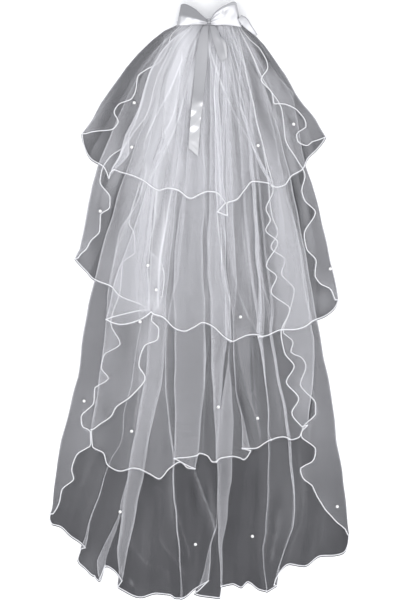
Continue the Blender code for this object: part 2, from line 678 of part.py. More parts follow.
RIBBONS = (
    ("bow_loop_left", LOOP_LEFT, 4, lambda across, down: 0.0),
    ("bow_loop_right", LOOP_RIGHT, 4, lambda across, down: 0.0),
    ("bow_tail_long", TAIL_LONG, 4, over_tier(0)),
    ("bow_tail_short", TAIL_SHORT, 3, over_tier(2)),
    ("bow_end_side", END_SIDE, 2, over_tier(0)),
)
for name, stations, columns, base in RIBBONS:
    add_object(name, *wall_from_sheet(*ribbon_sheet(stations, columns, base), WALL), SATIN)
knot_middle = (*KNOT_AT, BAND_TOP + SEAM + KNOT_HALF[2])
add_object("bow_knot", *rounded_block(knot_middle, KNOT_HALF, 12, 6, 0.6), SATIN)

for number, pearl in enumerate(PEARLS):
    rise = WALL / 2 + SEAM + PEARL_RADIUS
    middle = (pearl.across, pearl.down, height(pearl.tier, pearl.across, pearl.down, pearl.plies) + rise)
    ball = rounded_block(middle, (PEARL_RADIUS,) * 3, 8, 4, 1.0)
    add_object(f"pearl_{number + 1:02d}", *ball, PEARL)
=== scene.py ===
"""A four-tier bridal veil of plain tulle with a satin bow, laid flat and seen from above.

Sizes in the tables are millimetres: "across" is measured to the right from the middle line and
"down" from the gathered head toward the hem.
"""
import math
from collections import namedtuple

import bpy
import numpy as np
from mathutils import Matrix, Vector


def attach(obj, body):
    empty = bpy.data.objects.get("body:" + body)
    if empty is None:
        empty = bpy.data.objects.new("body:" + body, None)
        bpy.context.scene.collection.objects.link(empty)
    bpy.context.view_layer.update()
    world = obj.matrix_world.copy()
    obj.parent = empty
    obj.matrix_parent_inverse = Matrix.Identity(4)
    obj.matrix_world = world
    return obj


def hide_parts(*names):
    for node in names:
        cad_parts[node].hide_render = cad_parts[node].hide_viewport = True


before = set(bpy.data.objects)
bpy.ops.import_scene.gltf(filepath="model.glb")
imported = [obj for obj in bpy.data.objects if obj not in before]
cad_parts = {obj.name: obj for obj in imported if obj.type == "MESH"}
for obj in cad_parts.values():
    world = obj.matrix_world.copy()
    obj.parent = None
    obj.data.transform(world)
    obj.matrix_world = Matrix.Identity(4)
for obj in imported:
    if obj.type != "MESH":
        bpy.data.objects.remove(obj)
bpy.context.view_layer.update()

# ---------------------------------------------------------------- the four tiers
# Four lengths of fine nylon tulle, each cut as a fan and gathered at the head. The side edges
# are turned over the front, so they fall in cascades, and the cloth lies in long Z-folds that
# open toward the hem. The longest tier is at the bottom.

MM = 0.001
HEAD_AT = 688.85  # how far the gathered head lies up the sheet from the middle of the whole veil
MIDDLE_SHIFT = -0.55  # brings the veil's outermost points evenly about the middle line
WALL = 1.1  # the height that one ply takes up
PLY_PITCH = 1.8  # from one ply of a fold to the next
TIER_STEP = 5.3  # from one tier to the next
SEAM = 0.3  # between things that lie on each other
EDGING_WIDTH = 2.6  # the room that the satin edge takes
COMB_REACH = 46.0  # the comb's teeth end this far down
LIFT = 3.3  # how far the comb lifts the cloth at the head
LIFT_FADE = 300.0  # past the teeth the cloth sinks to the surface over this length
FALL_START = 12.0  # a tier keeps its height this far outside the tier under it
FALL_LENGTH = 190.0  # and then sinks to the surface over this length
NOSE = PLY_PITCH / 2  # a fold is this round
CLEAR = 3.0  # least distance from one section to the next
PLEAT = 5.0  # least width of a pleat

# One row for each section of a tier from its left corner to its right corner.
# gather and across are where the section starts at the head and ends at the hem, and down is
# the hem's depth there. ply is the level of the cloth that leaves the section to the right:
# a pleat turns back at its row of ply 1, forward again at its row of ply 2, and lies down at
# the next row of ply 0. bend is where a pleat's fold passes at the depth where the tier comes
# out from under the tier above.
Section = namedtuple("Section", "gather across down ply bend")

# fold_left and fold_right are the outlines, where the side edges turn to the front, and
# edge_left and edge_right are the cascades' free edges, each from the head to the corner:
# a row (across, down) for each turn. bend_at is the share of the depth where bend is measured.
Tier = namedtuple("Tier", "name level bend_at rows fold_left fold_right edge_left edge_right hem")


def sections(*rows):
    """Table rows as sections. A row may leave out its last columns."""
    return [Section(*row, *(0, None)[len(row) - 3:]) for row in rows]


TIER_1 = Tier(
    "tier_1", 3, 0.6, 8,
    fold_left=((-57, 0), (-90, 15), (-122, 40), (-155, 72), (-186, 107), (-217, 151), (-246, 194),
               (-270, 238), (-296, 272)),
    fold_right=((105, 0), (142, 30), (162, 52), (187, 87), (212, 122), (237, 168), (262, 203),
                (288, 236), (315, 280)),
    edge_left=((-46, 0), (-72, 26), (-82, 58), (-106, 96), (-135, 112), (-156, 130), (-160, 160),
               (-172, 186), (-202, 197), (-214, 218), (-205, 243), (-222, 262), (-252, 264),
               (-274, 268), (-286, 272)),
    edge_right=((96, 0), (124, 36), (150, 60), (170, 106), (154, 137), (180, 170), (187, 197),
                (208, 198), (243, 212), (265, 256), (242, 272), (246, 292), (268, 301),
                (282, 291), (299, 286)),
    hem=sections(
        (-49, -292, 294), (-43, -274, 331), (-36, -240, 357),
        (-26, -214, 370, 1, -76), (-30, -228, 366, 2, -88), (-23, -206, 372, 2),
        (-17, -188, 375), (-11, -148, 386), (-6, -105, 413), (2, -83, 407),
        (8, -62, 410), (18, -25, 433), (27, 2, 421), (34, 20, 416), (40, 40, 419),
        (50, 66, 442, 1, 53), (44, 42, 458, 2, 38), (48, 61, 448, 2), (53, 72, 458, 2),
        (60, 92, 435), (66, 109, 414), (72, 132, 392), (80, 166, 394),
        (86, 188, 404, 1, 118), (84, 177, 402, 2, 111), (88, 192, 406, 2),
        (92, 212, 400), (94, 227, 378), (97, 256, 359),
        (99, 268, 334), (101, 294, 308), (103, 307, 292),
    ),
)
TIER_2 = Tier(
    "tier_2", 2, 0.53, 8,
    fold_left=((-55, 0), (-76, 20), (-122, 75), (-155, 125), (-182, 180), (-210, 240), (-253, 346),
               (-270, 400), (-289, 500), (-300, 560), (-313, 584)),
    fold_right=((103, 0), (145, 32), (175, 82), (205, 132), (236, 190), (252, 287), (263, 352),
                (280, 395), (299, 467), (314, 534), (332, 610), (347, 687)),
    edge_left=((-44, 0), (-74, 60), (-106, 130), (-134, 222), (-165, 268), (-185, 300), (-225, 330),
               (-246, 366), (-250, 392), (-224, 430), (-226, 456), (-250, 474), (-252, 515),
               (-272, 538), (-284, 561), (-297, 572), (-304, 582)),
    edge_right=((93, 0), (128, 70), (160, 140), (206, 215), (212, 280), (240, 335), (262, 378),
                (255, 412), (262, 440), (288, 468), (262, 524), (266, 558), (291, 592), (288, 625),
                (300, 646), (325, 660), (338, 686)),
    hem=sections(
        (-49, -300, 598), (-44, -287, 612), (-39, -267, 634), (-34, -222, 652), (-29, -203, 675),
        (-22, -153, 696),
        (-11, -125, 712, 1, -112), (-16, -236, 737, 2, -124), (-13, -172, 747, 2), (-8, -119, 720, 2),
        (-2, -96, 729), (3, -65, 757), (10, -37, 765), (18, -15, 757), (25, 9, 744), (32, 32, 752),
        (38, 57, 778),
        (45, 77, 791, 1, 60), (40, 62, 783, 2, 48), (48, 81, 790, 2),
        (54, 96, 783), (60, 119, 775), (65, 134, 774),
        (71, 160, 779, 1, 138), (67, 146, 780, 2, 130), (74, 165, 777, 2),
        (80, 203, 762), (84, 232, 761), (88, 261, 754), (92, 285, 739), (95, 309, 730), (98, 328, 716),
        (101, 340, 702),
    ),
)
TIER_3 = Tier(
    "tier_3", 1, 0.72, 8,
    fold_left=((-53, 0), (-76, 90), (-110, 210), (-150, 380), (-168, 452), (-187, 500), (-210, 557),
               (-222, 615), (-232, 677), (-238, 775), (-248, 850), (-256, 912), (-265, 960), (-272, 1012)),
    fold_right=((101, 0), (145, 100), (182, 250), (214, 405), (228, 460), (245, 520), (257, 587),
                (270, 672), (277, 737), (285, 782), (287, 835), (282, 892), (277, 945), (270, 1001)),
    edge_left=((-40, 0), (-62, 110), (-86, 230), (-108, 360), (-112, 480), (-128, 560), (-98, 592),
               (-90, 625), (-95, 680), (-122, 735), (-104, 760), (-106, 788), (-137, 800), (-153, 850),
               (-139, 882), (-172, 928), (-210, 955), (-222, 978), (-250, 998), (-264, 1010)),
    edge_right=((91, 0), (118, 130), (146, 260), (170, 350), (183, 415), (165, 460), (175, 487),
                (163, 514), (195, 543), (166, 602), (192, 630), (178, 668), (224, 710), (203, 768),
                (211, 820), (236, 853), (217, 892), (247, 936), (230, 970), (254, 1003)),
    hem=sections(
        (-47, -269, 1054), (-42, -241, 1070), (-37, -230, 1100), (-32, -199, 1115), (-27, -168, 1108),
        (-22, -125, 1122), (-17, -101, 1134), (-13, -76, 1110), (-10, -47, 1093), (-6, -29, 1107),
        (6, -10, 1110, 1, 14), (-4, -69, 1085, 2, -63), (0, -40, 1074, 2), (9, -4, 1070, 2),
        (16, 18, 1077), (22, 33, 1092),
        (31, 46, 1089, 1, 64), (25, 39, 1092, 2, 24), (34, 52, 1082, 2),
        (41, 82, 1079), (46, 101, 1083),
        (53, 128, 1064, 1, 108), (48, 101, 1059, 2, 84), (56, 134, 1057, 2),
        (61, 157, 1045),
        (67, 174, 1036, 1, 148), (64, 166, 1039, 2, 141), (70, 179, 1034, 2),
        (76, 200, 1030),
        (81, 222, 1034, 1, 180), (79, 214, 1032, 2, 173), (83, 226, 1036, 2),
        (87, 236, 1036), (91, 244, 1030), (96, 253, 1014),
    ),
)
TIER_4 = Tier(
    "tier_4", 0, 0.79, 9,
    fold_left=((-51, 0), (-90, 110), (-140, 240), (-191, 381), (-207, 430), (-220, 480), (-235, 521),
               (-250, 580), (-264, 640), (-280, 700), (-290, 760), (-306, 880), (-326, 960),
               (-347, 1037), (-357, 1095), (-364, 1152), (-372, 1222)),
    fold_right=((99, 0), (144, 110), (190, 240), (232, 405), (262, 560), (282, 680), (295, 745),
                (312, 840), (329, 927), (343, 1046), (357, 1117), (366, 1214), (373, 1275)),
    edge_left=((-38, 0), (-66, 110), (-98, 240), (-140, 370), (-176, 495), (-164, 520), (-163, 570),
               (-194, 592), (-198, 656), (-223, 745), (-201, 797), (-240, 824), (-246, 856),
               (-228, 884), (-263, 907), (-267, 945), (-297, 978), (-294, 1002), (-273, 1016),
               (-273, 1050), (-310, 1074), (-321, 1112), (-315, 1136), (-344, 1161), (-352, 1192),
               (-364, 1218)),
    edge_right=((88, 0), (112, 110), (140, 230), (166, 350), (180, 480), (194, 520), (178, 555),
                (212, 588), (204, 620), (236, 660), (224, 715), (208, 768), (232, 792), (226, 818),
                (254, 832), (265, 854), (251, 898), (290, 948), (290, 972), (258, 1004), (252, 1028),
                (290, 1060), (284, 1088), (254, 1108), (283, 1154), (365, 1273)),
    hem=sections(
        (-45, -370, 1244), (-42, -346, 1252), (-39, -314, 1282),
        (-36, -295, 1304, 1, -236), (-37, -305, 1311, 2, -241), (-34, -289, 1311, 2),
        (-33, -272, 1366),
        (-29, -249, 1379, 1, -180), (-31, -258, 1373, 2, -185), (-27, -238, 1366, 2),
        (-23, -218, 1361),
        (-12, -196, 1378, 1, -141), (-20, -206, 1385, 2, -180), (-9, -190, 1385, 2),
        (-5, -163, 1426), (-2, -130, 1419), (1, -100, 1421), (5, -62, 1431),
        (10, -42, 1431, 1, -64), (6, -50, 1433, 2, -71), (13, -37, 1428, 2),
        (18, -14, 1408),
        (26, 22, 1391, 1, 37), (23, 3, 1404, 2, 28), (29, 27, 1397, 2),
        (33, 38, 1423),
        (47, 57, 1408, 1, 80), (39, 47, 1415, 2, 52), (50, 62, 1402, 2),
        (56, 80, 1394), (60, 101, 1403), (64, 118, 1390), (66, 143, 1403),
        (70, 166, 1412, 1, 171), (67, 159, 1414, 2, 165), (72, 170, 1410, 2),
        (74, 180, 1395),
        (79, 194, 1378, 1, 233), (76, 186, 1383, 2, 225), (81, 200, 1371, 2),
        (84, 228, 1345), (87, 262, 1349), (90, 300, 1326), (93, 337, 1322),
        (95, 361, 1314), (97, 371, 1292),
    ),
)
TIERS = (TIER_4, TIER_3, TIER_2, TIER_1)


def along(table, down):
    """Where a line of (across, down) rows passes at a depth."""
    rows = np.array(table, float)
    return float(np.interp(down, rows[:, 1], rows[:, 0]))


def smooth_step(share):
    """A rise from 0 to 1 with an easy start and end."""
    share = min(max(share, 0.0), 1.0)
    return share * share * (3 - 2 * share)


def cover(tier, across, down):
    """1 over a tier, and falling to 0 outside its outline."""
    outside = max(along(tier.fold_left, down) - across, across - along(tier.fold_right, down))
    return 1 - smooth_step((outside - FALL_START) / FALL_LENGTH)


def head_lift(down):
    """How far the comb lifts the cloth."""
    return LIFT * min(max(1 - (down - COMB_REACH) / LIFT_FADE, 0.0), 1.0)


def height(tier, across, down, ply):
    """Height of the middle of a ply of a tier above the surface it lies on."""
    under = [other for other in TIERS if other.level < tier.level]
    piled = sum(TIER_STEP * cover(other, across, down) for other in under)
    return WALL / 2 + (SEAM if under else 0.0) + head_lift(down) + piled + PLY_PITCH * ply


def fold_place(tier, side, share):
    """A point of the outline at a share of its depth."""
    table = tier.fold_left if side < 0 else tier.fold_right
    down = share * table[-1][1]
    return along(table, down), down


def share_across(tier, across, down):
    """A place as a share of the way from the left outline to the right one at its depth."""
    left, right = along(tier.fold_left, down), along(tier.fold_right, down)
    return (across - left) / (right - left)


def straight_share(tier, section, at):
    """The share across of a section at a share of its depth, before its pleats bend it."""
    head = share_across(tier, section.gather, 0)
    return head + (share_across(tier, section.across, section.down) - head) * at


HEM_LEVELLING = 45.0  # waves of the hem shorter than this are levelled out above it


def bends(tier):
    """How far the pleats bend the cloth aside: rows (share across at the hem, bend)."""
    rows = [(0.0, 0.0), (1.0, 0.0)]
    for section in tier.hem:
        if section.bend is not None:
            wanted = share_across(tier, section.bend, tier.bend_at * section.down)
            bend = wanted - straight_share(tier, section, tier.bend_at)
            rows.append((share_across(tier, section.across, section.down), bend))
    return np.array(sorted(rows))


def level_hem(tier):
    """The hem's depth without its waves, for the rows above it: places across, and depths."""
    flat = [section for section in tier.hem if section.ply == 0]
    across = np.array([section.across for section in flat], float)
    down = np.array([section.down for section in flat], float)
    nearness = np.exp(-((across[:, None] - across[None, :]) / HEM_LEVELLING) ** 2)
    return across, nearness @ down / nearness.sum(axis=1)


def section_place(tier, section, at):
    """A point of a section at a share of its depth: a ray from the head, bent with the pleats."""
    table = bends(tier)
    bend = np.interp(share_across(tier, section.across, section.down), table[:, 0], table[:, 1])
    share = straight_share(tier, section, at) + bend * at * (1 - at) / (tier.bend_at * (1 - tier.bend_at))
    level = np.interp(section.across, *level_hem(tier))
    down = at * level + at ** 6 * (section.down - level)  # the waves show only near the hem
    left, right = along(tier.fold_left, down), along(tier.fold_right, down)
    return left + share * (right - left), down


def cascade(tier, side):
    """The folded-over side: rows of points from the free edge to the fold, and their shares."""
    edge = tier.edge_left if side < 0 else tier.edge_right
    fold = tier.fold_left if side < 0 else tier.fold_right
    depth = fold[-1][1]
    rows, shares = [], []
    share = 0.0
    step = 0.35 / len(edge)  # the least share from one turn of the edge to the next
    for number, (across, down) in enumerate(edge):
        last = 1 - step * (len(edge) - 1 - number)
        share = 0.0 if number == 0 else min(max(share + step, down / depth), last)
        fold_across, fold_down = fold_place(tier, side, share)
        inner = fold_across - side * NOSE
        row = []
        for part in (0.0, 0.5):
            x, y = across + (inner - across) * part, down + (fold_down - down) * part
            row.append((x, y, height(tier, x, y, 1)))
        row.append((inner, fold_down, height(tier, inner, fold_down, 1)))
        row.append((fold_across, fold_down, height(tier, fold_across, fold_down, 0.5)))
        row.append((inner, fold_down, height(tier, inner, fold_down, 0)))
        rows.append(row)
        shares.append(share)
    return rows, shares


def cascade_limit(tier, at, side):
    """How far a cascade reaches toward the middle near a share of the depth, as a share across."""
    table = tier.edge_left if side < 0 else tier.edge_right
    depth = tier.hem[len(tier.hem) // 2].down
    near = []
    for offset in range(-7, 8):
        down = min(max(at + offset / 7 / tier.rows, 0.0), 1.0) * depth
        near.append(share_across(tier, along_run(table, down, side), down))
    return max(near) if side < 0 else min(near)


def along_run(table, down, side):
    """The innermost place of a free edge at a depth; the edge may run back on itself."""
    found = []
    for (across, start), (other, end) in zip(table, table[1:]):
        if min(start, end) <= down <= max(start, end):
            share = (down - start) / (end - start) if end != start else 0.5
            found.append(across + (other - across) * share)
    if not found:
        found = [table[-1][0] if down > table[-1][1] else table[0][0]]
    return max(found) if side < 0 else min(found)


def spread(tier, at):
    """Where the sections pass at a share of their depth, clear of each other and the cascades."""
    clear = CLEAR * min(0.6 + at, 1.0)
    pleat = PLEAT * min(0.7 + at, 1.0)
    hem = tier.hem
    places = [section_place(tier, section, at) for section in hem]
    across = [place[0] for place in places]
    down = at * hem[len(hem) // 2].down
    outline_left, outline_right = along(tier.fold_left, down), along(tier.fold_right, down)
    width = outline_right - outline_left
    beside_left = outline_left + width * cascade_limit(tier, at, -1) + clear + EDGING_WIDTH + SEAM
    beside_right = outline_left + width * cascade_limit(tier, at, 1) - clear - EDGING_WIDTH - SEAM
    before = [0] + [section.ply for section in hem[:-1]]
    margin = 2 * clear if at < 1 else 0.0
    floor, landed = outline_left + margin, beside_left
    for number, section in enumerate(hem):
        if section.ply == 2 and before[number] == 1:
            continue
        low = floor + clear
        if section.ply == 1:
            across[number + 1] = max(across[number + 1], landed + clear)
            low = max(low, across[number + 1] + pleat)
        across[number] = max(across[number], low)
        floor = across[number]
        if section.ply == 0 and before[number] == 2:
            landed = floor
    ceiling, under = outline_right - margin, beside_right
    for number in range(len(hem) - 1, -1, -1):
        ply = hem[number].ply
        if ply == 1:
            continue
        if ply == 2 and before[number] == 1:
            across[number - 1] = min(across[number - 1], ceiling - clear)
            across[number] = min(across[number], across[number - 1] - pleat)
            ceiling, under = across[number - 1], across[number]
            continue
        high = min(ceiling, under) if ply == 0 and before[number] == 2 else ceiling
        across[number] = min(across[number], high - clear)
        ceiling = across[number]
    return [(x, place[1]) for x, place in zip(across, places)]


def main_columns(tier, shares):
    """Columns of points from head to hem, one for each section and three at each fold."""
    spreads = [spread(tier, at) for at in shares]
    columns = []
    for number, section in enumerate(tier.hem):
        before = tier.hem[number - 1].ply if number else 0
        turning = section.ply == before + 1
        # at a fold: the ply that arrives, the nose, and the ply that leaves
        nose = -NOSE if before == 0 else NOSE
        strands = [(0, section.ply)]
        if turning:
            strands = [(nose, before), (0, before + 0.5), (nose, section.ply)]
        for shift, ply in strands:
            column = []
            for places in spreads:
                across, down = places[number]
                column.append((across + shift, down, height(tier, across, down, ply)))
            columns.append(column)
    return columns


def through(places, values, wanted):
    """Smooth values between rows that are given at uneven places, with no overshoot."""
    places = np.asarray(places, float)
    values = np.asarray(values, float)
    flat = values.reshape(len(places), -1)
    steps = np.diff(places)[:, None]
    slopes = np.diff(flat, axis=0) / steps
    tangents = np.zeros_like(flat)
    tangents[0], tangents[-1] = slopes[0], slopes[-1]
    same_way = slopes[:-1] * slopes[1:] > 0
    total = slopes[:-1] + slopes[1:]
    mean = 2 * slopes[:-1] * slopes[1:] / np.where(same_way, total, 1.0)
    tangents[1:-1] = np.where(same_way, mean, 0.0)
    at = np.clip(np.searchsorted(places, wanted, side="right") - 1, 0, len(places) - 2)
    part = ((wanted - places[at]) / steps[at, 0])[:, None]
    size = steps[at]
    found = (
        (1 + 2 * part) * (1 - part) ** 2 * flat[at] + part * (1 - part) ** 2 * size * tangents[at]
        + part**2 * (3 - 2 * part) * flat[at + 1] + part**2 * (part - 1) * size * tangents[at + 1]
    )
    return found.reshape((len(wanted), *values.shape[1:]))


FLUTES_FROM = (22, -260)  # the point that the flutes fan out from
FLUTE_LIFT = 1.3
UNEVEN = 0.7


def flutes(across, down):
    """The low flutes that every tier shares: how far they lift the cloth."""
    turn = np.arctan2(across - FLUTES_FROM[0], np.maximum(down, 0) - FLUTES_FROM[1])
    swell = np.clip((down - 120) / 500, 0, 1)
    wave = np.sin(46 * turn + 0.7) * 0.5 + np.sin(81 * turn + 2.1) * 0.3 + np.sin(23 * turn + 1.1) * 0.2
    return FLUTE_LIFT * swell * (1 + wave)


def drift(across, down):
    """Small unevenness of cut and sewing: how far the cloth lies from its drawn place."""
    along_cloth = np.sin(across / 12.3 + down / 31.0) + 0.7 * np.sin(across / 27.0 - down / 19.1 + 1.0)
    sideways = np.sin(down / 17.9 + across / 36.0) + 0.8 * np.sin(down / 35.7 - across / 23.0 + 2.0)
    fade = np.clip(down / 200, 0, 1)
    return np.stack([UNEVEN * sideways * fade, UNEVEN * along_cloth * fade], axis=-1)


# points from head to hem, closer together toward the hem
ROWS = {"tier_1": 110, "tier_2": 130, "tier_3": 140, "tier_4": 160}
# distance from one column of the mesh to the next at the hem
COLUMN_STEP = {"tier_1": 2.6, "tier_2": 2.6, "tier_3": 3.0, "tier_4": 3.4}
# beside a crease: where the cloth has a column, and how much of the crease's brightness it has
CREASE_SHADE = ((0.0, 1.0), (1.1, 0.85), (2.2, 0.4), (3.6, 0.0))
FLAP_COLUMNS = 14  # columns across a turned-over side, before those beside its fold
# hems that hang in a bow: the run between two creases, the stretch of it, and the drop
HEM_BOWS = {
    "tier_2": ((1, 0, -5.0), (2, 0, 22.0)), "tier_3": ((4, 3, 8.0),), "tier_4": ((2, 2, 24.0),),
}
HEM_DROP = 2.2  # the longest tier's hem hangs this much below its drawn line
# where strands of the net end beside their drawn places on the hem: the first and the last of
# them, and how far across and down
HEM_SHIFTS = {
    "tier_1": (
        (3, 5, -13, 14), (6, 8, -3, 4), (9, 9, -15, -10), (10, 10, -17, -8), (19, 21, -1.5, 2.5),
        (22, 24, 0, 9), (25, 25, -0.5, 28), (26, 26, -5, -12),
    ),
    "tier_2": ((12, 12, 0, -31),),
    "tier_4": (
        (6, 8, 0, -4), (9, 9, -16, 17), (11, 13, 0, -31), (14, 16, 0, 7), (17, 17, 0, -16),
        (19, 21, 0, 10), (22, 24, 0, 17), (25, 25, -6, 23), (26, 26, 17, 1), (27, 27, 20, 0),
        (28, 28, 22, 0), (29, 29, 2, 0), (38, 40, 0, -4), (41, 43, 0, 8), (44, 44, -32, 19),
        (45, 45, 12, 7), (46, 48, 0, -8), (49, 51, 0, -13), (52, 52, 0, -4), (56, 56, 2, 4),
        (64, 64, -1, 11), (65, 67, 0, 22), (68, 70, 0, 15), (71, 71, -8, 12),
    ),
}
HEM_EASE = 12  # such changes grow with this power of the depth, so they show only near the hem
# the two edges of each pleat that reaches the hem, from the left: at each distance down, its
# left and right edge and how sharply it is pressed
PLEATS = {
    "tier_1": (
        ((118, -127, -124, 0.3), (208, -155, -150, 0.7), (275, -186, -174, 1), (325, -202, -178, 1),
         (360, -222, -212, 1), (384, -231, -227, 1)),
    ),
    "tier_3": (
        ((740, -64, 13, 1), (757, -64, 14, 1), (840, -64, 16, 1), (912, -64, 10, 1), (1008, -63, 2, 1),
         (1075, -65, -5, 1), (1110, -66, -11, 1)),
        ((745, 27, 73, 1), (805, 28, 66, 1), (872, 29, 58, 1), (960, 34, 51, 1), (1020, 38, 47, 1),
         (1070, 41, 43, 1), (1090, 40, 46, 1)),
        ((745, 82, 84, 0.7), (795, 82, 84, 0.9), (872, 86, 88, 0.9), (912, 89, 91, 1), (928, 92, 94, 1),
         (968, 101, 105, 1), (1015, 105, 116, 1), (1052, 105, 124, 1), (1064, 104, 127, 1)),
        ((765, 141, 150, 0.7), (805, 151, 158, 0.7), (862, 157, 162, 0.7), (912, 165, 167, 0.7),
         (975, 170, 172, 0.6), (1015, 170, 172, 0.5), (1036, 176, 179, 0.7)),
        ((765, 173, 180, 0.3), (840, 185, 192, 0.3), (908, 197, 204, 0.3), (962, 209, 216, 0.3),
         (1034, 217, 224, 0.3)),
    ),
    "tier_4": (
        ((745, -147, -145, 0.6), (788, -157, -155, 0.6), (835, -163, -161, 0.6), (908, -175, -172, 0.7),
         (932, -181, -179, 0.7), (972, -191, -189, 0.6), (1015, -194, -192, 0.5), (1050, -201, -199, 0.4),
         (1080, -219, -217, 0.4), (1132, -241, -239, 0.6), (1180, -255, -252, 0.8), (1238, -276, -272, 0.9),
         (1280, -287, -280, 1), (1305, -298, -286, 1)),
        ((745, -128, -127, 0), (845, -133, -132, 0), (920, -146, -145, 0), (985, -156, -155, 0),
         (1080, -175, -174, 0), (1135, -182, -181, 0.3), (1187, -196, -193, 0.8), (1222, -202, -198, 1),
         (1262, -221, -210, 1), (1300, -239, -222, 1), (1340, -257, -235, 1), (1378, -252, -238, 1)),
        ((750, -127, -85, 1), (845, -133, -90, 1), (908, -143, -97, 1), (965, -153, -113, 1),
         (1015, -162, -123, 1), (1058, -171, -130, 1), (1105, -179, -139, 1), (1135, -182, -142, 1),
         (1187, -192, -154, 1), (1250, -200, -166, 1), (1312, -207, -180, 1), (1372, -203, -191, 1),
         (1392, -206, -194, 1)),
        ((757, -86, -84, 0.9), (848, -88, -86, 0.9), (920, -86, -84, 0.9), (978, -82, -79, 0.9),
         (1038, -74, -69, 0.9), (1088, -68, -63, 0.9), (1135, -68, -64, 0.9), (1187, -67, -65, 1.4),
         (1220, -61, -58, 1.4), (1270, -59, -56, 1.3), (1312, -53, -50, 1.0), (1355, -50, -47, 0.7),
         (1382, -49, -46, 0.3), (1431, -50, -42, 0.2)),
        ((745, 44, 45, 0), (1187, 43, 44, 0), (1255, 40, 42, 0.2), (1270, 34, 37, 1), (1300, 25, 29, 1.4),
         (1338, 15, 26, 1.4), (1375, 6, 22, 1.4), (1395, 2, 21, 1.4), (1412, -5, 20, 1.4)),
        ((745, 71, 73, 0), (840, 71, 73, 0.5), (908, 58, 80, 1), (975, 49, 83, 1), (1042, 44, 82, 1),
         (1138, 43, 80, 1), (1187, 43, 71, 1), (1237, 44, 67, 1), (1300, 47, 57, 1), (1345, 49, 56, 1),
         (1400, 51, 56, 1)),
        ((765, 141, 155, 0.9), (805, 151, 160, 0.9), (862, 157, 163, 0.9), (912, 165, 167, 0.9),
         (975, 170, 172, 0.8), (1080, 171, 173, 0.6), (1205, 167, 169, 0.5), (1270, 164, 166, 0.5),
         (1307, 155, 157, 0.5), (1362, 159, 161, 0.4), (1405, 164, 167, 0.4)),
        ((765, 173, 180, 0.9), (840, 185, 192, 0.9), (908, 197, 204, 0.9), (962, 209, 216, 0.9),
         (1030, 218, 226, 0.9), (1138, 229, 235, 0.9), (1182, 235, 238, 0.9), (1212, 236, 238, 0.9),
         (1255, 230, 232, 0.9), (1305, 214, 216, 0.9), (1355, 196, 200, 1), (1395, 183, 192, 1)),
    ),
}
# free edges that wave between their drawn places: the side, then how far out at each distance down
EDGE_WAVES = {
    "tier_4": {1: ((1100, 0), (1117, -4), (1135, -9), (1150, 0), (1179, -6), (1195, -7), (1212, -9),
                   (1244, -3), (1258, 8), (1275, 4))},
}
# places where the cloth is pulled aside: across and down, how far round, and how far it moves
PULLS = {
    "tier_4": ((-374, 1232, 15, -7, 1), (-325, 1275, 30, -4, 5), (-300, 1335, 22, -8, 3),
               (-262, 1368, 20, -3, 8)),
}
PLEAT_LEAD = 120.0  # above its first row a pleat runs out to its drawn place over this length


def set_pleat(tier, crease, strands):
    """Moves a crease's three strands to its pleat's edge; gives how sharp it is and how far it went."""
    pleats = PLEATS.get(tier.name, ())
    if crease // 2 >= len(pleats):
        return np.ones(len(strands[1])), np.zeros(len(strands[1]))
    rows = np.array(pleats[crease // 2], float)
    across, down = strands[1][:, 0].copy(), strands[1][:, 1]
    wanted = np.interp(down, rows[:, 0], rows[:, 1 if crease % 2 else 2])
    moved = np.clip((down - rows[0, 0]) / PLEAT_LEAD + 1, 0, 1) * (wanted - across)
    for strand in strands:
        strand[:, 0] += moved
    return np.interp(down, rows[:, 0], rows[:, 3]), moved


def flap_columns(tier, side, fine):
    """The turned-over side as columns from its free edge to the fold, and the fold's own column."""
    rows, shares = cascade(tier, side)
    points = through(shares, np.array([[row[0][:2], row[3][:2]] for row in rows]), fine)
    edge = points[:, 0]
    if side in EDGE_WAVES.get(tier.name, {}):
        edge[:, 0] += side * np.interp(edge[:, 1], *zip(*EDGE_WAVES[tier.name][side]))
    down = fine * (tier.fold_left if side < 0 else tier.fold_right)[-1][1]
    fold = np.column_stack([[fold_place(tier, side, share)[0] for share in fine], down])
    inner = fold - [side * NOSE, 0]
    columns = []
    reach = np.maximum(np.linalg.norm(edge - inner, axis=1), 1e-6)
    parts = [np.full(len(fine), part) for part in np.linspace(1, 0.08, FLAP_COLUMNS)]
    furthest = CREASE_SHADE[-1][0]
    parts += [np.minimum(gap / reach, 0.06 * gap / furthest) for gap, _ in CREASE_SHADE[::-1]]
    for part in parts:
        plan = inner + (edge - inner) * part[:, None]
        lift = [height(tier, x, y, 1) for x, y in plan]
        columns.append(np.column_stack([plan, lift]))
    middle = np.array([height(tier, x, y, 0.5) for x, y in fold])
    for turn in (50, 0, -50):  # round the fold
        angle = math.radians(turn)
        out = side * NOSE * (math.cos(angle) - 1)
        columns.append(np.column_stack([fold + [out, 0], middle + NOSE * math.sin(angle)]))
    main = np.column_stack([inner, [height(tier, x, y, 0) for x, y in inner]])
    return columns, main


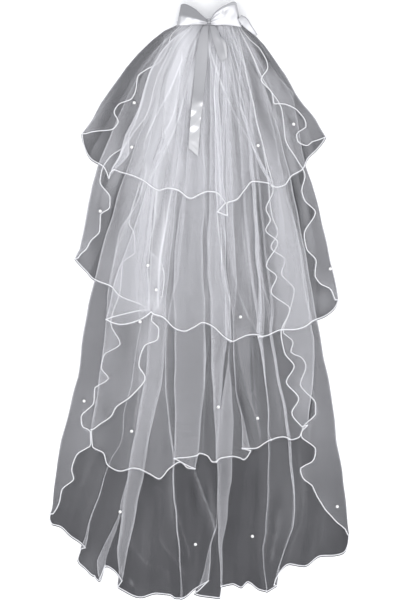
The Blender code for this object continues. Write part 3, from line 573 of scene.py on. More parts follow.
def tier_grid(tier):
    """Columns of points from head to hem, from the left free edge to the right one."""
    shares = np.array([(number / (tier.rows - 1)) ** 0.8 for number in range(tier.rows)])
    fine = np.linspace(0, 1, ROWS[tier.name]) ** 0.9
    coarse = np.array(main_columns(tier, shares))
    strands = list(through(shares, coarse.transpose(1, 0, 2), fine).transpose(1, 0, 2))
    if tier.level == 0:
        for strand in strands:
            strand[:, 1] += HEM_DROP * fine**HEM_EASE
    for first, last, *shift in HEM_SHIFTS.get(tier.name, ()):
        for strand in strands[first:last + 1]:
            strand[:, :2] += np.outer(fine**HEM_EASE, shift)
    left, left_main = flap_columns(tier, -1, fine)
    right, right_main = flap_columns(tier, 1, fine)
    runs, run, number = [], [left_main], 0
    still = np.zeros(len(fine))
    creases_set = [(still + 1, still)]
    for section, before in zip(tier.hem, (tier.hem[0], *tier.hem)):
        if section.ply == before.ply + 1:
            arriving, nose, leaving = strands[number:number + 3]
            creases_set.append(set_pleat(tier, len(creases_set) - 1, (arriving, nose, leaving)))
            run.append(arriving)
            runs.append((run, nose))
            run = [leaving]
            number += 3
        else:
            run.append(strands[number])
            number += 1
    run.append(right_main)
    runs.append((run, None))
    creases_set.append((still + 1, still))

    columns = list(left)
    shades = [0.0] * FLAP_COLUMNS + [shade for _, shade in CREASE_SHADE[::-1]] + [1.0] * 3
    turned_shade = [np.full(len(fine), shade) for shade in shades]
    creases = list(turned_shade)
    for order, (run, nose) in enumerate(runs):
        run = np.array(run)
        (sharp_left, moved_left), (sharp_right, moved_right) = creases_set[order:order + 2]
        start, end = run[0, :, 0] - moved_left, run[-1, :, 0] - moved_right
        part = np.clip((run[1:-1, :, 0] - start) / np.where(np.abs(end - start) > 1, end - start, 1), 0, 1)
        run[1:-1, :, 0] += moved_left + (moved_right - moved_left) * part
        steps = np.linalg.norm(np.diff(run[:, -1, :2], axis=0), axis=1)
        places = np.concatenate([[0], np.cumsum(np.maximum(steps, 1.0))])
        count = max(int(places[-1] / COLUMN_STEP[tier.name]), len(run))
        beside = np.array([place for place, _ in CREASE_SHADE])
        wanted = np.concatenate([np.linspace(0, places[-1], count), places, beside, places[-1] - beside])
        wanted = np.unique(np.round(wanted[(wanted >= 0) & (wanted <= places[-1])], 3))
        wanted = wanted[np.concatenate([[True], np.diff(wanted) > 0.3])]
        refined = through(places, run, wanted)
        for where, stretch, drop in HEM_BOWS.get(tier.name, ()):
            if where == order:
                part = np.clip((wanted - places[stretch]) / (places[stretch + 1] - places[stretch]), 0, 1)
                refined[:, :, 1] += drop * (4 * part * (1 - part))[:, None] * fine[None, :] ** HEM_EASE
        columns += list(refined)
        near_left, near_right = (np.interp(gap, *zip(*CREASE_SHADE)) for gap in (wanted, places[-1] - wanted))
        creases += list(np.maximum(np.outer(near_left, sharp_left), np.outer(near_right, sharp_right)))
        if nose is not None:
            low, high = nose.copy(), nose.copy()
            # the fold's edge is round: two more columns, under and over it and a little further in
            low[:, 2] -= 0.6 * NOSE
            high[:, 2] += 0.6 * NOSE
            shift = 0.35 * (run[-1, :, 0] - nose[:, 0])
            low[:, 0] += shift
            high[:, 0] += shift
            columns += [low, nose, high]
            creases += [sharp_right] * 3
    columns += right[::-1]
    creases += turned_shade[::-1]
    grid = np.array(columns)
    grid[:, :, 2] += flutes(grid[:, :, 0], grid[:, :, 1])
    grid[:, :, :2] += drift(grid[:, :, 0], grid[:, :, 1])
    for across, down, reach, aside, lower in PULLS.get(tier.name, ()):
        near = np.exp(-((grid[:, :, 0] - across) ** 2 + (grid[:, :, 1] - down) ** 2) / reach**2)
        grid[:, :, :2] += near[:, :, None] * [aside, lower]
    return grid, np.array(creases), len(left)


def place_in_metres(points):
    points = np.asarray(points, float)
    return np.stack([(points[..., 0] + MIDDLE_SHIFT) * MM, (HEAD_AT - points[..., 1]) * MM,
                     points[..., 2] * MM], axis=-1)


def grid_faces(wide, long, around=False):
    """Faces of a grid of points; with around its last column meets its first."""
    columns = np.arange(wide if around else wide - 1)
    here = (columns[:, None] * long + np.arange(long - 1)[None, :]).ravel()
    after = (((columns + 1) % wide)[:, None] * long + np.arange(long - 1)[None, :]).ravel()
    return np.column_stack([here, here + 1, after + 1, after])


def closed_faces(around, long):
    """Faces of a tube of points that is closed at both ends."""
    faces = [tuple(face) for face in grid_faces(around, long, around=True)]
    faces.append(tuple(range(0, around * long, long))[::-1])
    faces.append(tuple(range(long - 1, around * long, long)))
    return faces


def add_piece(name, points, faces, material, uv=None, values=None):
    """A smooth mesh object, with a UV map and named values for its points where they are given."""
    mesh = bpy.data.meshes.new(name)
    mesh.from_pydata([tuple(p) for p in place_in_metres(points)], [], [tuple(map(int, f)) for f in faces])
    mesh.materials.append(material)
    mesh.shade_smooth()
    if uv is not None:
        corners = np.empty(len(mesh.loops), int)
        mesh.loops.foreach_get("vertex_index", corners)
        layer = mesh.uv_layers.new(name="cloth")
        layer.data.foreach_set("uv", np.asarray(uv, float)[corners].ravel())
    for title, numbers in (values or {}).items():
        attribute = mesh.attributes.new(title, "FLOAT", "POINT")
        attribute.data.foreach_set("value", np.asarray(numbers, float).ravel())
    piece = bpy.data.objects.new(name, mesh)
    bpy.context.collection.objects.link(piece)
    return piece


class Nodes:
    """Adds nodes to a tree: each call makes one, sets its inputs and links what is a socket."""

    def __init__(self, tree):
        self.tree = tree

    def add(self, kind, inputs=(), out=0, **settings):
        node = self.tree.nodes.new(kind)
        for name, value in settings.items():
            setattr(node, name, value)
        for key, value in dict(inputs).items():
            self.set(node.inputs[key], value)
        return node.outputs[out]

    def set(self, socket, value):
        if isinstance(value, bpy.types.NodeSocket):
            self.tree.links.new(value, socket)
        else:
            socket.default_value = value

    def math(self, operation, first, second=0.0, third=0.0):
        return self.add("ShaderNodeMath", {0: first, 1: second, 2: third}, operation=operation)

    def noise(self, place, scale, detail):
        return self.add("ShaderNodeTexNoise", {"Vector": place, "Scale": scale, "Detail": detail})

    def ranged(self, value, low, high, start=0.0, end=1.0):
        """A value that goes from low to high while the given one goes from start to end."""
        return self.add("ShaderNodeMapRange", {0: value, 1: start, 2: end, 3: low, 4: high})

    def mixed(self, share, first, second):
        """A colour between two; a plain colour is three numbers."""
        first, second = (end if isinstance(end, bpy.types.NodeSocket) else (*end, 1.0)
                         for end in (first, second))
        return self.add("ShaderNodeMix", {0: share, 6: first, 7: second}, out=2, data_type="RGBA")

    def point_value(self, title):
        """A value that the mesh holds for each of its points."""
        return self.add("ShaderNodeAttribute", out=2, attribute_name=title)

    def own_place(self):
        """The place on the piece itself, in metres."""
        return self.add("ShaderNodeTexCoord", out=3)

    def relief(self, shader, raised, strength, depth):
        bump = self.add("ShaderNodeBump", {"Height": raised, "Strength": strength, "Distance": depth})
        self.set(shader.inputs["Normal"], bump)


def new_group(name, inputs, outputs):
    """A shader node group with its sockets, its input and output nodes, and a node adder."""
    group = bpy.data.node_groups.new(name, "ShaderNodeTree")
    for title, kind, value in inputs:
        socket = group.interface.new_socket(name=title, in_out="INPUT", socket_type=kind)
        if value is not None:
            socket.default_value = value
    for title, kind in outputs:
        group.interface.new_socket(name=title, in_out="OUTPUT", socket_type=kind)
    given = group.nodes.new("NodeGroupInput")
    result = group.nodes.new("NodeGroupOutput")
    return group, given.outputs, result.inputs, Nodes(group)


def new_material(name):
    """A material with its Principled shader, and a node adder."""
    material = bpy.data.materials.new(name)
    material.use_nodes = True
    return material, material.node_tree.nodes["Principled BSDF"], Nodes(material.node_tree)


def use_group(nodes, group, inputs):
    holder = nodes.tree.nodes.new("ShaderNodeGroup")
    holder.node_tree = group
    for title, value in inputs.items():
        nodes.set(holder.inputs[title], value)
    return holder.outputs


def net_threads():
    """How much of what is behind it the net hides, and the fine relief of its meshes."""
    group, given, result, nodes = new_group(
        "net_threads",
        (("Cover", "NodeSocketFloat", 0.11), ("Plies", "NodeSocketFloat", 1.0),
         ("Gathers", "NodeSocketFloat", 0.3), ("Seed", "NodeSocketFloat", 0.0),
         ("Cloth", "NodeSocketVector", None)),
        (("Hidden", "NodeSocketFloat"), ("Relief", "NodeSocketFloat")),
    )
    apart = nodes.tree.nodes.new("ShaderNodeSeparateXYZ")
    nodes.set(apart.inputs[0], given["Cloth"])
    across, along_cloth = apart.outputs[0], apart.outputs[1]

    def noise(per_metre, down_per_metre, detail, slant=0.0):
        """Noise drawn out down the cloth, and slanted where the cloth is dragged sideways."""
        place = nodes.add("ShaderNodeCombineXYZ", {
            0: nodes.math("MULTIPLY_ADD", along_cloth, slant * per_metre,
                          nodes.math("MULTIPLY", across, per_metre)),
            1: nodes.math("MULTIPLY", along_cloth, down_per_metre), 2: given["Seed"]})
        return nodes.math("SUBTRACT", nodes.add("ShaderNodeTexNoise", {
            "Vector": place, "Scale": 1.0, "Detail": detail, "Roughness": 0.6}), 0.5)

    def ridge(source, width):
        """A thin line wherever the noise passes through nothing: the edge of a soft fold."""
        near = nodes.math("DIVIDE", nodes.math("ABSOLUTE", source), width)
        return nodes.math("POWER", nodes.math("MAXIMUM", nodes.math("SUBTRACT", 1.0, near), 0.0), 1.5)

    def pleats(source, level, width):
        """Flat soft folds: bands where the cloth doubles, each with a bright edge."""
        over = nodes.math("SUBTRACT", source, level)
        band = nodes.math("MULTIPLY", over, 60.0)
        band.node.use_clamp = True
        return nodes.math("MULTIPLY_ADD", ridge(over, width), 0.8, band)

    wide = pleats(noise(12.0, 0.8, 1.0), 0.03, 0.012)
    slim = pleats(noise(30.0, 1.3, 0.5, 0.04), 0.06, 0.02)
    streaks = nodes.math("MULTIPLY_ADD", wide, 1.1, -0.4)
    streaks = nodes.math("MULTIPLY_ADD", slim, 0.7, streaks)
    streaks = nodes.math("MULTIPLY_ADD", noise(70.0, 1.6, 2.0), 0.3, streaks)
    uneven = nodes.math("MULTIPLY_ADD", streaks, given["Gathers"], 0.9)
    dragged = ridge(noise(15.0, 4.5, 0.5, -0.5), 0.010)
    uneven = nodes.math("MULTIPLY_ADD", dragged, 0.16, uneven)
    uneven = nodes.math("MULTIPLY_ADD", noise(220.0, 220.0, 2.0), 0.3, uneven)
    uneven = nodes.math("MULTIPLY_ADD", noise(9.0, 6.0, 2.0), 0.45, uneven)
    plies = nodes.math("MULTIPLY", given["Plies"], nodes.math("MAXIMUM", uneven, 0.15))
    open_share = nodes.math("SUBTRACT", 1.0, given["Cover"])
    hidden = nodes.math("SUBTRACT", 1.0, nodes.math("POWER", open_share, plies))
    place = nodes.add("ShaderNodeCombineXYZ", {0: across, 1: along_cloth})
    meshes = nodes.add("ShaderNodeTexVoronoi", {"Vector": place, "Scale": 620.0}, feature="DISTANCE_TO_EDGE")
    thread = nodes.ranged(meshes, 1.06, 0.97, 0.0, 0.25)
    nodes.set(result["Hidden"], nodes.math("MULTIPLY", hidden, thread))
    nodes.set(result["Relief"], thread)
    return group


NET_THREADS = net_threads()
TULLE_COVER = 0.108


def tulle():
    """Soft white nylon net: each ply hides little, and gathers and folds hide more."""
    material, shader, nodes = new_material("soft_tulle")
    net = use_group(nodes, NET_THREADS, {
        "Cover": TULLE_COVER,
        "Plies": nodes.point_value("plies"),
        "Gathers": nodes.point_value("gathers"),
        "Seed": nodes.point_value("seed"),
        "Cloth": nodes.add("ShaderNodeUVMap", uv_map="cloth"),
    })
    nodes.set(shader.inputs["Alpha"], net["Hidden"])
    nodes.relief(shader, net["Relief"], 0.15, 0.0003)
    shader.inputs["Base Color"].default_value = (0.74, 0.74, 0.77, 1.0)
    shader.inputs["Roughness"].default_value = 0.75
    shader.inputs["Sheen Weight"].default_value = 0.15
    return material


TULLE = tulle()

# How many plies' worth of thread a tier's cloth has at its hem, its turned-over sides against
# that by the distance down, the least share of it beside the ends of the head, and the flat
# cut's width and area in metres.
Fullness = namedtuple("Fullness", "hem sides least cut_width cut_area")
FULLNESS = {
    "tier_1": Fullness(1.5, ((0, 0.45), (200, 0.5), (400, 0.85)), 0.35, 0.85, 0.30),
    "tier_2": Fullness(1.6, ((0, 1.0), (400, 1.1), (700, 1.1)), 0.1, 1.00, 0.62),
    "tier_3": Fullness(1.02, ((0, 1.0), (700, 1.3), (1050, 1.6)), 0.1, 1.00, 1.02),
    "tier_4": Fullness(0.88, ((0, 1.0), (700, 1.8), (950, 1.8), (1150, 1.15)), 0.1, 1.30, 1.39),
}
# Bundles of gathers that the hand laid together, and gaps between them: where they lie across at
# each of three depths, their half width at the first two, and their weight.
BUNDLE_ROWS = (0, 390, 770)
BUNDLES = {
    "tier_1": ((-38, -112, -130, 16, 62, 1.1), (36, 42, 34, 6, 12, 0.7),
               (95, 190, 260, 16, 30, -0.5)),
    "tier_2": ((-38, -112, -128, 16, 52, 0.9), (0, -30, -22, 12, 34, -0.25),
               (36, 42, 34, 6, 12, 0.6), (70, 150, 162, 14, 18, -0.5),
               (120, 205, 225, 10, 30, 0.35)),
    "tier_3": ((-38, -112, -128, 16, 48, 0.6), (70, 150, 160, 14, 18, -0.4)),
    "tier_4": ((-38, -112, -128, 16, 48, 0.3),),
}
FOLD_PLIES = 1.7  # what the crease of a pleat adds
# Soft folds pressed into the gathers: a bright line through places across and down, how many
# plies it adds, and the doubled cloth beside it: how much that adds and how far it fades out,
# to the right, or to the left where that is negative.
FOLDS = {
    "tier_1": (
        (((-88, 38), (-125, 118), (-150, 208), (-175, 275), (-220, 358)), 1.2, 0.5, 60),
        (((-45, 88), (-75, 162), (-105, 218), (-140, 292)), 1.6, 0.4, -24),
        (((-50, 125), (-58, 188), (-70, 232), (-88, 268)), 1.6, 0.3, 20),
        (((-12, 50), (-30, 138), (-55, 238), (-100, 338), (-125, 388)), 1.6, 0.4, -30),
        (((-2, 32), (-10, 88), (-20, 150), (-25, 188)), 0.8, 0.9, -22),
        (((20, 42), (32, 138), (40, 238), (48, 362), (52, 425)), 1.8, 0.5, 8),
        (((25, 62), (55, 150), (95, 238), (130, 300), (155, 350), (175, 390)), 2.6, 0.4, -16),
        (((65, 92), (85, 162), (108, 218), (140, 282)), 0.9, 0.4, -14),
        (((62, 188), (75, 312), (80, 412)), 0.7, 0.2, 20),
        (((0, 188), (8, 312), (15, 400)), 0.6, 0.2, -16),
        (((115, 68), (140, 108), (158, 148), (178, 208)), 1.2, 0.0, 10),
        (((138, 50), (170, 92), (202, 138), (232, 170)), 1.8, 0.5, -30),
    ),
    "tier_2": (
        (((-135, 368), (-155, 438), (-175, 475), (-200, 515), (-212, 575), (-225, 650)), 1.8, 0.6, 40),
        (((-55, 362), (-75, 438), (-85, 500), (-100, 592), (-105, 688)), 1.8, 0.5, -30),
        (((-55, 438), (-62, 550), (-72, 688)), -0.5, -0.25, 40),
        (((-108, 412), (-120, 538), (-128, 688)), 0.9, 0.3, 20),
        (((12, 438), (20, 575), (15, 668), (12, 732)), 1.0, 0.35, 18),
        (((42, 468), (52, 562), (65, 650), (78, 700)), 2.0, 0.3, -10),
        (((55, 450), (60, 525), (70, 592)), 1.0, 0.0, 10),
        (((62, 525), (80, 600), (95, 662), (115, 718), (140, 762)), 1.3, 0.3, 14),
        (((105, 500), (118, 608), (128, 700)), 0.7, 0.25, 20),
        (((140, 450), (150, 562), (162, 662), (178, 775)), 1.5, 0.4, -16),
        (((215, 388), (230, 462), (250, 562), (262, 662), (280, 742)), 1.6, 0.5, -50),
    ),
    "tier_3": (
        (((-150, 780), (-152, 900), (-165, 1000)), 0.7, 0.3, 20),
        (((10, 800), (12, 900), (8, 1040)), 0.8, 0.0, 10),
        (((130, 800), (138, 930), (150, 1040)), 0.8, 0.3, 18),
    ),
    "tier_4": (
        (((-30, 1080), (-8, 1130), (10, 1180), (28, 1225), (38, 1260)), 1.6, 0.5, -24),
        (((-197, 1367), (-180, 1385), (-160, 1405)), 0.9, 0.1, 14),
        (((-170, 1300), (-130, 1345), (-80, 1365)), 0.35, 0.2, -16),
        (((-54, 1230), (-42, 1270), (-28, 1318)), 0.6, 0.1, 10),
        (((-100, 1290), (-70, 1330), (-40, 1370)), 0.4, 0.2, 18),
        (((190, 1100), (196, 1230), (180, 1330)), 0.6, 0.2, 10),
    ),
}
# tucks that lie flat within a tier: the left and right edge at each distance down, and the weight
TUCKS = {
    "tier_3": (
        (((770, 90, 124), (849, 102, 124), (900, 114, 126), (948, 127, 130), (985, 141, 143),
              (1015, 149, 151)), 0.75),
    ),
    "tier_4": (
        (((898, -253, -252), (912, -266, -256), (946, -263, -258), (962, -285, -262), (980, -297, -264),
              (998, -296, -267), (1012, -285, -269), (1018, -276, -270)), 1.4),
        (((935, 283, 284), (955, 280, 293), (972, 278, 294), (988, 276, 288), (1002, 272, 276)), 0.8),
    ),
}


CREASE_HALF = 1.8  # half the width of a pressed crease's bright line
CREASE_END = 25  # the length over which it fades out


def between_ends(down, first, last):
    """1 beside a crease, and fading out past its ends."""
    return np.clip((down - first) / CREASE_END + 1, 0, 1) * np.clip((last - down) / CREASE_END + 1, 0, 1)


def crease_line(off):
    """How bright a crease is at a distance across from it."""
    return np.exp(-((off / CREASE_HALF) ** 2))


def tucks(tier, across, down):
    """How much the tucks add to the cloth at each place: the plies between and the two creases."""
    added = np.zeros(across.shape)
    for table, weight in TUCKS.get(tier.name, ()):
        rows = np.array(table, float)
        left, right = (np.interp(down, rows[:, 0], rows[:, side]) for side in (1, 2))
        within = np.clip(0.5 + (across - left) / 2, 0, 1) * np.clip(0.5 + (right - across) / 2, 0, 1)
        creases = crease_line(across - left) + crease_line(across - right)
        added += weight * between_ends(down, rows[0, 0], rows[-1, 0]) * (within + 0.8 * creases)
    return added


def pressed_folds(tier, across, down):
    """How much the pressed folds add to the cloth at each place, as a share of its plies."""
    added = tucks(tier, across, down)
    for line, weight, doubled, reach in FOLDS[tier.name]:
        aside, depths = np.array(line, float).T
        first, last = depths[0], depths[-1]
        off = across - through(depths, aside, np.clip(down, first, last).ravel()).reshape(down.shape)
        beside = np.clip(1 - off / reach, 0, 1) * (off * reach > 0)
        added += between_ends(down, first, last) * (weight * crease_line(off) + doubled * beside)
    return added


# Places where the gathers bunch up or lie thin: across and down, how wide and how long, how far
# across the place drifts for each millimetre down, and how much it adds.
PATCHES = {
    "tier_1": (
        (168, 88, 14, 60, 0.67, -0.75), (155, 225, 24, 150, 0.385, -0.8), (222, 300, 14, 50, 0.5, -0.5),
        (132, 30, 14, 24, 0.6, -0.6), (140, 115, 4, 36, 0.5, -0.8), (118, 110, 16, 60, 0.3, -0.5),
        (-180, 235, 16, 75, -0.35, -0.5), (-262, 225, 22, 60, -0.5, 0.8), (-75, 62, 14, 40, -0.6, -0.4),
        (-272, 290, 28, 40, 0, 1.1), (-228, 150, 32, 110, -0.57, 0.9), (275, 242, 30, 45, 0, 0.4),
        (102, 225, 7, 60, 0.25, 0.35), (195, 115, 14, 60, 0.7, 0.5), (-168, 300, 10, 45, -0.4, 0.6),
        (-160, 110, 22, 60, -0.5, 0.25), (0, 95, 14, 40, 0, 0.2),
    ),
    "tier_2": (
        (168, 88, 16, 60, 0.67, -0.8), (140, 115, 4, 36, 0.5, -0.8), (155, 225, 24, 120, 0.385, -0.5),
        (118, 110, 16, 60, 0.3, -0.5), (218, 400, 14, 50, 0.2, -0.5), (-180, 235, 16, 75, -0.35, -0.4),
        (-212, 375, 25, 45, -0.3, 0.9), (-285, 585, 22, 40, 0, 0.6), (312, 692, 25, 35, 0, 1.2),
        (-105, 705, 35, 25, 0, 0.5), (-92, 538, 14, 110, -0.17, 1.1), (-115, 500, 8, 90, -0.1, 0.4),
        (112, 575, 20, 130, 0, 0.4), (190, 300, 20, 120, 0.38, -0.4), (236, 450, 14, 110, 0.2, -0.9),
        (142, 450, 12, 110, 0.1, -0.75), (70, 600, 9, 90, 0.09, -0.65), (-205, 480, 14, 110, -0.2, -0.6),
        (13, 540, 6, 120, 0, 0.35), (-25, 530, 22, 70, 0, -0.25), (260, 470, 12, 40, 0, 0.4),
    ),
    "tier_3": (
        (-25, 830, 35, 140, 0, -0.2), (-130, 1038, 25, 60, 0, -0.2), (-205, 1000, 40, 60, 0, 0.25),
        (275, 938, 25, 40, 0, 0.4), (-138, 812, 12, 40, 0, 0.4), (-238, 825, 12, 35, 0, 0.4),
        (-188, 788, 25, 40, 0, -0.3), (65, 960, 10, 90, 0, -0.5), (105, 950, 9, 80, 0.25, -0.8),
        (255, 900, 25, 60, 0, 0.4), (142, 450, 12, 110, 0.1, -0.75), (70, 600, 10, 110, 0.09, -0.6),
        (155, 225, 24, 120, 0.385, -0.5), (118, 110, 16, 60, 0.3, -0.5), (215, 430, 14, 80, 0.15, -0.5),
        (-205, 480, 14, 110, -0.2, -0.5), (-92, 538, 14, 110, -0.17, 0.6), (30, 840, 9, 110, 0.05, 0.35),
        (-85, 960, 8, 110, 0.1, 0.4), (-258, 765, 22, 50, 0, -0.35), (-232, 962, 16, 40, 0, -0.4),
        (12, 1000, 8, 70, 0, -0.4), (188, 890, 8, 120, 0.15, 0.8), (135, 850, 12, 60, 0, -0.3),
    ),
    "tier_4": (
        (-270, 1140, 60, 150, 0, 0.65), (212, 1138, 75, 170, 0, 0.5), (312, 1250, 30, 70, 0, 0.4),
        (142, 1160, 16, 60, 0, -0.2), (70, 640, 10, 110, 0.09, -0.5), (155, 225, 24, 120, 0.385, -0.4),
        (-125, 1120, 22, 90, 0, -0.4), (-18, 1150, 12, 80, 0.15, -0.35), (62, 1130, 14, 60, 0, -0.3),
        (-138, 1375, 45, 60, 0, -0.2), (192, 1220, 12, 90, -0.1, -0.4), (30, 1195, 8, 70, 0.12, 0.8),
        (-70, 1180, 8, 110, 0.04, 0.6), (240, 1220, 12, 110, -0.15, 0.25), (-278, 1350, 30, 40, 0, 0.5),
    ),
}


def patches(tier, across, down):
    """What the bunched and the thin places make of the plies: a factor."""
    factor = np.ones(across.shape)
    for aside, depth, wide, long, slant, weight in PATCHES[tier.name]:
        off = across - aside - slant * (down - depth)
        factor *= 1 + weight * np.exp(-((off / wide) ** 2) - ((down - depth) / long) ** 2)
    return factor


def plies_of_thread(tier, grid, creases, turned):
    """For each point of a tier, how many single plies its gathered cloth is worth."""
    full = FULLNESS[tier.name]
    across, down = grid[:, :, 0], grid[:, :, 1]
    left = np.interp(down, [row[1] for row in tier.fold_left], [row[0] for row in tier.fold_left])
    right = np.interp(down, [row[1] for row in tier.fold_right], [row[0] for row in tier.fold_right])
    width = right - left
    plies = full.hem * width.max() / width
    plies[turned:-turned] *= 1 + np.maximum(pressed_folds(tier, across, down)[turned:-turned], -0.8)
    for *middles, narrow, wide, weight in BUNDLES[tier.name]:
        middle = np.interp(down, BUNDLE_ROWS, middles)
        half = np.interp(down, BUNDLE_ROWS[:2], (narrow, wide))
        plies = plies * (1 + weight * np.exp(-(((across - middle) / half) ** 2)))
    inward = np.minimum(across - left, right - across) / width
    reach = np.interp(down, (0, 400), (0.2, 0.1))
    thin = np.interp(down, (30, 150, 300, 400), (full.least, full.least + 0.15, 0.8, 1.0))
    plies = plies * (thin + (1 - thin) * np.clip(inward / reach, 0, 1) ** 2)
    sides = np.interp(down, *zip(*full.sides))
    plies[:turned] *= sides[:turned]
    plies[-turned:] *= sides[-turned:]
    plies = plies * patches(tier, across, down)
    return plies * (1 + FOLD_PLIES * creases * np.clip(down / 60, 0, 1))


LIP = 3.7  # how far the net stands out past the middle of its satin edge


def with_lip(grid):
    """The tier's points with one more row or column beyond each free edge and the hem."""
    def beyond(outer, inner):
        away = outer - inner
        return outer + LIP * away / np.maximum(np.linalg.norm(away, axis=-1, keepdims=True), 1e-6)
    grid = np.concatenate([grid, beyond(grid[:, -1], grid[:, -2])[:, None]], axis=1)
    return np.concatenate([beyond(grid[0], grid[1])[None], grid, beyond(grid[-1], grid[-2])[None]])


# how far apart two tiers lie in the pattern of threads, so that no two are alike
THREADS_APART = 3.7
SEEDS_APART = 5.3

tier_grids = {}
for tier in TIERS:
    grid, creases, turned = tier_grid(tier)
    tier_grids[tier.name] = grid
    grid, creases, turned = with_lip(grid), np.pad(creases, ((1, 1), (0, 1)), mode="edge"), turned + 1
    wide, long = grid.shape[:2]
    cloth_across = np.concatenate([[0], np.cumsum(np.linalg.norm(np.diff(grid[:, -1], axis=0), axis=1))])
    uv = np.empty((wide, long, 2))
    uv[:, :, 0] = cloth_across[:, None] * MM + tier.level * THREADS_APART
    uv[:, :, 1] = np.linspace(0, 1, long)[None, :] * tier.hem[len(tier.hem) // 2].down * MM
    # the gathers stand out most below the head, and little where the cloth is turned over
    gathers = np.clip(0.85 - grid[:, :, 1] / 1200, 0.12, 1.0) * np.interp(grid[:, :, 1], (25, 110), (0.4, 1))
    gathers[:turned] *= 0.25
    gathers[-turned:] *= 0.25
    sheet = add_piece(
        f"net_{tier.name}", grid.reshape(-1, 3), grid_faces(wide, long), TULLE, uv.reshape(-1, 2),
        {"plies": plies_of_thread(tier, grid, creases, turned).ravel(), "gathers": gathers.ravel(),
         "seed": np.full(gathers.size, SEEDS_APART * tier.level)})
    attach(sheet, "root")
    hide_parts(tier.name)

# ---------------------------------------------------------------- the satin edges
# A narrow white satin cord is rolled round every free edge of the net and sewn on: along the
# hem, round the corners and up both cascades. It is flatter than it is wide.

CORD_HALF = (1.15, 0.7)  # half its width and height


def white_satin(name, colour, roughness, metallic, thread_scale):
    """Silvery white satin: it shines where it turns to the light and greys where it turns away. Its colour
    also takes painted edge shade, painted shade and a painted highlight from the mesh's values.
    """
    material, shader, nodes = new_material(name)
    place = nodes.own_place()
    threads, slow = nodes.noise(place, thread_scale, 4.0), nodes.noise(place, 40.0, 2.0)
    tone = nodes.mixed(slow, [part * 0.9 for part in colour], colour)
    # painted edge shade, painted shade and a painted highlight, each as strong as the mesh's value there
    for title, shade in (("painted_edge_shade", (0.26, 0.26, 0.28)), ("dull", (0.20, 0.20, 0.21)),
                         ("crushed", (0.56, 0.56, 0.57))):
        tone = nodes.mixed(nodes.point_value(title), tone, shade)
    nodes.set(shader.inputs["Base Color"], tone)
    nodes.set(shader.inputs["Roughness"], nodes.ranged(threads, roughness - 0.07, roughness + 0.09))
    nodes.relief(shader, threads, 0.12, 0.0004)
    shader.inputs["Metallic"].default_value = metallic
    return material


CORD_SATIN = white_satin("edge_satin", (0.80, 0.80, 0.82), 0.45, 0.0, 900.0)


def cord_along(line, half, around=8):
    """A tube of oval section along a line of points, slimmer beside the head: its points and faces."""
    line = np.asarray(line, float)
    gaps = np.linalg.norm(np.diff(line, axis=0), axis=1)
    line = line[np.concatenate([[True], gaps > 0.05])]
    run = np.gradient(line, axis=0)
    run /= np.linalg.norm(run, axis=1)[:, None]
    side = np.cross(run, [0, 0, 1.0])
    weak = np.linalg.norm(side, axis=1) < 0.2
    side[weak] = [1, 0, 0]
    side /= np.linalg.norm(side, axis=1)[:, None]
    up = np.cross(side, run)
    size = np.clip(0.3 + line[:, 1:2] / 130, 0.3, 1)  # full size from 91 down
    rings = []
    for step in range(around):
        turn = 2 * math.pi * step / around
        rings.append(line + size * (side * half[0] * math.cos(turn) + up * half[1] * math.sin(turn)))
    return np.array(rings).reshape(-1, 3), grid_faces(around, len(line), around=True)


for tier in TIERS:
    grid = tier_grids[tier.name]
    rim = np.concatenate([grid[0], grid[1:-1, -1], grid[-1, ::-1]])
    cord = add_piece(f"cord_{tier.name}", *cord_along(rim, CORD_HALF), CORD_SATIN)
    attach(cord, "root")
    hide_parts(tier.name.replace("tier", "edging"))

# ---------------------------------------------------------------- the gathered head
# The head ends of all four tiers are run up on a thread and stitched down into one narrow
# bar of tight ruches, which hides the bar of the comb.

BAND_TOP = 25.0
BAND_BOTTOM = 2.7
BAND_DOWN = -6.3  # where its middle line lies
BAND_HALF = 5.9
# its size at places across: it tapers at both ends
BAND_STATIONS = ((-60, 0.5), (-57, 0.85), (-44, 1.0), (92, 1.0), (103, 0.88), (106, 0.5))
RUCHE = 3.4  # distance from one ruche to the next


def gathered_head():
    """The ruched bar: an oval section whose size ripples with the gathers."""
    places = np.arange(BAND_STATIONS[0][0], BAND_STATIONS[-1][0] + 0.01, 0.55)
    size = np.interp(places, *zip(*BAND_STATIONS))
    turns = 2 * np.pi * np.arange(28) / 28
    middle, half = 0.5 * (BAND_TOP + BAND_BOTTOM), 0.5 * (BAND_TOP - BAND_BOTTOM)
    rows = []
    for turn in turns:
        ripple = np.sin(2 * np.pi * places / RUCHE + 1.4 * np.sin(places * 0.31) + 0.5 * math.sin(turn))
        reach = size * (0.94 + 0.06 * ripple)
        side, rise = math.sin(turn), math.cos(turn)
        side = math.copysign(abs(side) ** 0.6, side)
        rise = math.copysign(abs(rise) ** 0.6, rise)
        down = BAND_DOWN + BAND_HALF * reach * side
        rows.append(np.column_stack([places, down, middle + half * reach * rise]))
    return np.array(rows).reshape(-1, 3), closed_faces(len(turns), len(places))


def ruched_net():
    """Many plies of net drawn together: nearly closed, with painted shade that darkens the grooves between
    the ruches.
    """
    material, shader, nodes = new_material("ruched_net")
    stretched = nodes.add("ShaderNodeMapping", {0: nodes.own_place(), 3: (520.0, 90.0, 90.0)})
    grooves = nodes.noise(stretched, 1.0, 3.0)
    # painted shade: the colour is darker in the grooves
    nodes.set(shader.inputs["Base Color"], nodes.mixed(grooves, (0.57, 0.57, 0.60), (0.78, 0.78, 0.81)))
    nodes.set(shader.inputs["Alpha"], nodes.ranged(grooves, 0.9, 1.0, 0.3, 0.6))
    nodes.relief(shader, grooves, 0.5, 0.001)
    shader.inputs["Roughness"].default_value = 0.8
    return material


band = add_piece("gathered_head", *gathered_head(), ruched_net())
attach(band, "root")
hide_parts("gather_band")

# ---------------------------------------------------------------- the comb
# A clear plastic comb sewn under the gathers, which holds the veil in the hair. It is a plain
# moulding, so it keeps its solid's shape and takes a clear gloss finish.


